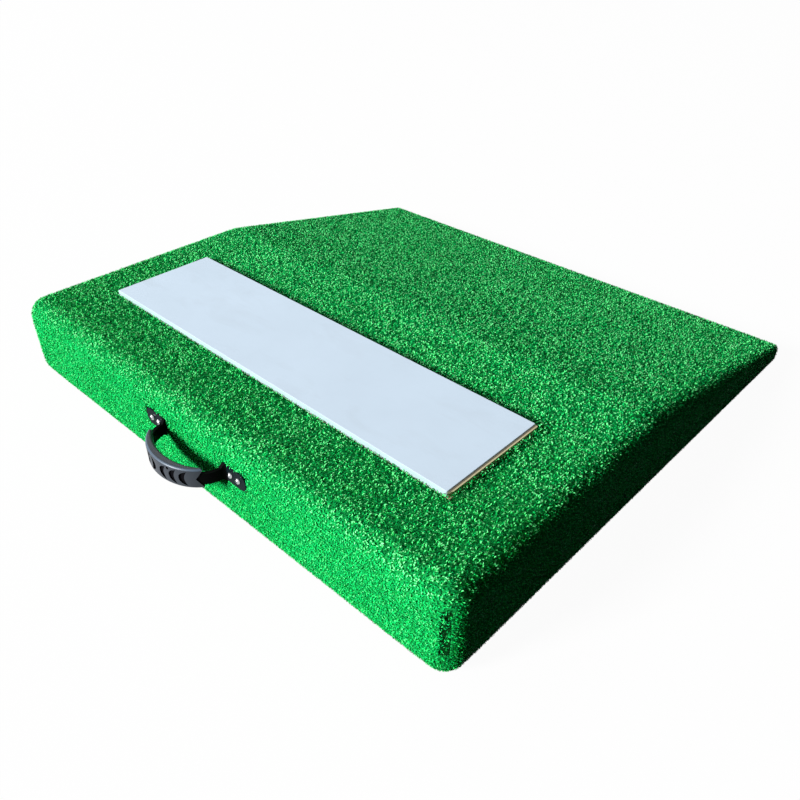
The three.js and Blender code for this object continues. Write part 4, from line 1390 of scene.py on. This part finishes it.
def buildRibTree():
    tree, given, result = newTree("sheetRibs", "GeometryNodeTree", [
        ("Geometry", "NodeSocketGeometry", None),
        ("Rib", "NodeSocketObject", None),
        ("Count", "NodeSocketInt", 10),
        ("First", "NodeSocketVector", (0, 0, 0)),
        ("Pitch", "NodeSocketFloat", 0.006),
        ("Finish", "NodeSocketMaterial", None),
    ], [("Geometry", "NodeSocketGeometry")])
    step = outputOf(tree, "ShaderNodeCombineXYZ", {1: given["Pitch"]})
    line = outputOf(tree, "GeometryNodeMeshLine", {
        "Count": given["Count"], "Start Location": given["First"], "Offset": step,
    }, mode="OFFSET")
    rib = addNode(tree, "GeometryNodeObjectInfo", {"Object": given["Rib"]}).outputs["Geometry"]
    placed = outputOf(tree, "GeometryNodeInstanceOnPoints", {"Points": line, "Instance": rib})
    joined = addNode(tree, "GeometryNodeJoinGeometry")
    tree.links.new(given["Geometry"], joined.inputs[0])
    tree.links.new(placed, joined.inputs[0])
    whole = outputOf(tree, "GeometryNodeRealizeInstances", {"Geometry": joined.outputs[0]})
    return endTree(tree, given, result, whole)


def makeGripSheet():
    half = (sheetHigh - sheetLow) / 2
    middle = (sheetHigh + sheetLow) / 2
    rise = gripSheet["ribHeight"]
    outline = roundedRectangle(half.x, half.y, gripSheet["cornerRadius"], 8)
    sheet = prismObject(
        "grip_sheet_ribbed", [(middle.x + x, middle.y + y) for x, y in outline],
        sheetLow.z + rise, sheetHigh.z, [blackRubber],
    )
    reach = half.x - gripSheet["margin"]
    angles = np.linspace(math.pi, 2 * math.pi, 7)
    across = [(gripSheet["ribWidth"] / 2 * math.cos(a), rise * math.sin(a)) for a in angles]
    count = len(across)
    vertices = [(end * reach, y, z) for end in (-1, 1) for y, z in across]
    faces = [(k, k + count, k + count + 1, k + 1) for k in range(count - 1)]
    faces += [tuple(range(count)), tuple(range(2 * count - 1, count - 1, -1))]
    faces.append((0, count - 1, 2 * count - 1, count))
    rib = reshape(meshObject("rib", vertices, faces, [blackRubber]), faceOutwards)
    length = 2 * (half.y - gripSheet["margin"])
    ribs = int(length / gripSheet["ribPitch"]) + 1
    growNodes(sheet, buildRibTree(), {
        "Rib": rib, "Count": ribs, "Pitch": gripSheet["ribPitch"], "Finish": blackRubber,
        "First": (middle.x, middle.y - (ribs - 1) * gripSheet["ribPitch"] / 2, sheetLow.z + rise),
    })
    bpy.data.objects.remove(rib)
    return finishPiece(sheet, ["grip_sheet"])


# Foam over the frame, in the shape of its solid, with its edges shaded round
def makeFoam():
    mesh = nodes["foam_underlay"].data.copy()
    mesh.materials.clear()
    foam = placeMesh("foam_layer", mesh, [greyFoam], True)
    reshape(foam, lambda shape: bmesh.ops.remove_doubles(shape, verts=shape.verts, dist=1e-6))
    finishPiece(softShade(foam, 40), ["foam_underlay"])


# Finishes of the smaller pieces
plasticLook = {
    "toneScale": 40.0, "toneSpread": 0.12, "scuffScale": 60.0, "scuffCover": 0.35, "scuffShare": 0.35,
    "grainScale": 1500.0, "grainStrength": 0.25, "grainDepth": 0.0002,
}
blackPlastic = plainFinish("blackPlastic", {
    **plasticLook, "color": (0.0015, 0.0018, 0.0018), "scuffColor": (0.004, 0.005, 0.005),
    "roughness": 0.5, "scuffRoughness": 0.65, "specular": 0.015,
})
# Painted sheen: the lighter bluish black of the tabs
tabPlastic = plainFinish("tabPlastic", {
    **plasticLook, "color": (0.003, 0.007, 0.009), "scuffColor": (0.012, 0.022, 0.026),
    "roughness": 0.45, "scuffRoughness": 0.6, "specular": 0.03,
})
greyGrip = plainFinish("greyGrip", {
    **plasticLook, "color": (0.030, 0.037, 0.047), "scuffColor": (0.05, 0.06, 0.07),
    "roughness": 0.42, "scuffRoughness": 0.55, "specular": 0.25,
})
# Painted highlight: the lighter bluish grey of the grip's upper rim
rubbedRim = plainFinish("rubbedRim", {
    **plasticLook, "color": (0.052, 0.080, 0.115), "scuffColor": (0.07, 0.10, 0.13),
    "roughness": 0.38, "scuffRoughness": 0.50, "specular": 0.35,
})
slotBlack = plainFinish("slotBlack", {
    **plasticLook, "color": (0.003, 0.003, 0.004), "scuffColor": (0.006, 0.006, 0.007),
    "roughness": 0.7, "scuffRoughness": 0.8, "specular": 0.02,
})
whiteRubber = plainFinish("whiteRubber", {
    "color": (0.608, 0.724, 0.842), "toneScale": 10.0, "toneSpread": 0.03,
    "scuffScale": 22.0, "scuffCover": 0.5, "scuffShare": 0.30, "scuffColor": (0.46, 0.52, 0.58),
    "roughness": 0.60, "scuffRoughness": 0.72, "specular": 0.12,
    "grainScale": 1200.0, "grainStrength": 0.15, "grainDepth": 0.0002,
})
# Painted shade: the darker grey of the slab's sides
rubberSide = plainFinish("rubberSide", {
    "color": (0.34, 0.44, 0.46), "toneScale": 30.0, "toneSpread": 0.06,
    "scuffScale": 40.0, "scuffCover": 0.4, "scuffShare": 0.3, "scuffColor": (0.28, 0.34, 0.34),
    "roughness": 0.65, "scuffRoughness": 0.75, "specular": 0.12,
    "grainScale": 1200.0, "grainStrength": 0.2, "grainDepth": 0.0002,
})
baseLook = {
    "toneScale": 60.0, "toneSpread": 0.1, "scuffScale": 40.0, "scuffCover": 0.3, "scuffShare": 0.3,
    "roughness": 0.7, "scuffRoughness": 0.8, "grainScale": 900.0, "grainStrength": 0.3, "grainDepth": 0.0003,
}
tanBase = plainFinish("tanBase", {
    **baseLook, "color": (0.50, 0.44, 0.26), "scuffColor": (0.4, 0.32, 0.2),
})
# Painted shade: the darker brown of the lip's slant
brownEdge = plainFinish("brownEdge", {
    **baseLook, "color": (0.175, 0.15, 0.11), "scuffColor": (0.16, 0.13, 0.1),
})
greyFoam = plainFinish("greyFoam", {
    "color": (0.062, 0.065, 0.072), "toneScale": 25.0, "toneSpread": 0.12,
    "scuffScale": 30.0, "scuffCover": 0.3, "scuffShare": 0.3, "scuffColor": (0.10, 0.10, 0.11),
    "roughness": 0.9, "scuffRoughness": 0.95,
    "grainScale": 1100.0, "grainStrength": 0.7, "grainDepth": 0.0005,
})
blackRubber = plainFinish("blackRubber", {
    "color": (0.018, 0.019, 0.020), "toneScale": 20.0, "toneSpread": 0.15,
    "scuffScale": 16.0, "scuffCover": 0.5, "scuffShare": 0.5, "scuffColor": (0.07, 0.07, 0.065),
    "roughness": 0.65, "scuffRoughness": 0.85,
    "grainScale": 1400.0, "grainStrength": 0.3, "grainDepth": 0.0002,
})
metalLook = {
    "toneScale": 120.0, "toneSpread": 0.08, "scuffScale": 200.0, "scuffCover": 0.4, "scuffShare": 0.4,
    "grainScale": 2200.0, "grainStrength": 0.12, "grainDepth": 0.0001, "metallic": 1.0,
}
brightScrew = plainFinish("brightScrew", {
    **metalLook, "color": (0.50, 0.51, 0.53), "scuffColor": (0.30, 0.31, 0.33),
    "roughness": 0.22, "scuffRoughness": 0.4,
})
zincSteel = plainFinish("zincSteel", {
    **metalLook, "color": (0.60, 0.61, 0.63), "scuffColor": (0.40, 0.41, 0.43),
    "roughness": 0.32, "scuffRoughness": 0.5,
})
yellowZinc = plainFinish("yellowZinc", {
    **metalLook, "color": (0.62, 0.54, 0.32), "scuffColor": (0.45, 0.36, 0.20),
    "roughness": 0.34, "scuffRoughness": 0.5,
})
turnedBrass = plainFinish("turnedBrass", {
    **metalLook, "color": (0.70, 0.48, 0.16), "scuffColor": (0.42, 0.27, 0.09),
    "roughness": 0.28, "scuffRoughness": 0.45,
})
plywood = woodFinish("plywood", {
    "pale": (0.62, 0.45, 0.26), "dark": (0.42, 0.27, 0.13), "stretch": (4.0, 45.0, 45.0),
    "roughness": 0.65, "toneScale": 6.0, "toneSpread": 0.1,
})
timber = woodFinish("timber", {
    "pale": (0.58, 0.38, 0.19), "dark": (0.36, 0.20, 0.08), "stretch": (3.0, 60.0, 60.0),
    "roughness": 0.6, "toneScale": 8.0, "toneSpread": 0.12,
})
slotFinishes = {
    "plywood": plywood,
    "timber": timber,
    "steel": zincSteel,
    "zinc_screw": yellowZinc,
    "brass_insert": turnedBrass,
}


def finishFrame():
    dressed = 0
    for subpart in frame["record"]["subparts"]:
        finish = slotFinishes.get(subpart["material_slot"])
        if finish is not None:
            for place in nodes[subpart["node"]].material_slots:
                place.material = finish
            dressed += 1
    print("frame pieces finished:", dressed)


makeRubber()
makeStrap()
makeGrip()
makeHandleScrews()
print("rubber and handle made")
makeGripSheet()
makeFoam()
finishFrame()


# Floor, light and background
stageLook = {
    "floorSize": 16.0,
    "floorDrop": 0.0006,
    "floorColor": (0.80, 0.80, 0.80),
    "floorBounce": (0.05, 0.05, 0.05),
    "floorWhite": 0.96,
    "fill": 0.013,
    "lampAim": (0, 0, 0.06),
}


# Rays that see the stage itself, rather than the light that it gives
def seenRays(tree):
    path = addNode(tree, "ShaderNodeLightPath").outputs
    mask = path["Is Camera Ray"]
    for kind in ("Is Glossy Ray", "Is Transmission Ray"):
        mask = mathOf(tree, "MAXIMUM", mask, path[kind])
    return mask


def blend(tree, share, first, second):
    return addNode(tree, "ShaderNodeMixShader", {0: share, 1: first.outputs[0], 2: second.outputs[0]})


def addFloor():
    made = bpy.data.materials.new("paleFloor")
    made.use_nodes = True
    tree = made.node_tree
    tree.nodes.clear()
    out = addNode(tree, "ShaderNodeOutputMaterial")
    matt = addNode(tree, "ShaderNodeBsdfDiffuse", {"Color": opaque(stageLook["floorColor"])})
    glow = addNode(tree, "ShaderNodeEmission", {"Color": (1, 1, 1, 1), "Strength": 1.0})
    dull = addNode(tree, "ShaderNodeBsdfDiffuse", {"Color": opaque(stageLook["floorBounce"])})
    clear = addNode(tree, "ShaderNodeBsdfTransparent")
    under = addNode(tree, "ShaderNodeNewGeometry").outputs["Backfacing"]
    pale = blend(tree, stageLook["floorWhite"], matt, glow)
    sided = blend(tree, under, blend(tree, seenRays(tree), dull, pale), clear)
    tree.links.new(sided.outputs[0], out.inputs["Surface"])
    half = stageLook["floorSize"] / 2
    corners = [(x * half, y * half, -stageLook["floorDrop"]) for x, y in [(-1, -1), (1, -1), (1, 1), (-1, 1)]]
    floor = meshObject("floor", corners, [(0, 1, 2, 3)], [made])


def addWorld():
    world = bpy.data.worlds.new("studio")
    world.use_nodes = True
    tree = world.node_tree
    tree.nodes.clear()
    out = addNode(tree, "ShaderNodeOutputWorld")
    dim = addNode(tree, "ShaderNodeBackground", {"Color": (1, 1, 1, 1), "Strength": stageLook["fill"]})
    white = addNode(tree, "ShaderNodeBackground", {"Color": (1, 1, 1, 1), "Strength": 1.0})
    mixed = blend(tree, seenRays(tree), dim, white)
    tree.links.new(mixed.outputs[0], out.inputs["Surface"])
    scene.world = world


# Lamps: a low one before the back face, a higher one behind the toe and a weak broad one at the left
lamps = {
    "frontLamp": {"azimuth": -18, "elevation": 22, "distance": 24.0, "size": (5.8, 5.8), "power": 13400},
    "rearLamp": {"azimuth": 236, "elevation": 45, "distance": 9.0, "size": (2.0, 2.0), "power": 90},
    "sideLamp": {"azimuth": -60, "elevation": 35, "distance": 8.0, "size": (4.8, 4.8), "power": 76},
}


def addLamp(name, look):
    back = directionOf(look)
    lamp = bpy.data.lights.new(name, "AREA")
    lamp.shape = "RECTANGLE"
    lamp.size, lamp.size_y = look["size"]
    lamp.energy = look["power"]
    holder = bpy.data.objects.new(name, lamp)
    scene.collection.objects.link(holder)
    holder.location = Vector(stageLook["lampAim"]) + look["distance"] * back
    holder.rotation_mode = "QUATERNION"
    holder.rotation_quaternion = back.to_track_quat("Z", "Y")


addFloor()
addWorld()
for lampName, lampLook in lamps.items():
    addLamp(lampName, lampLook)
print("stage and lamps set")
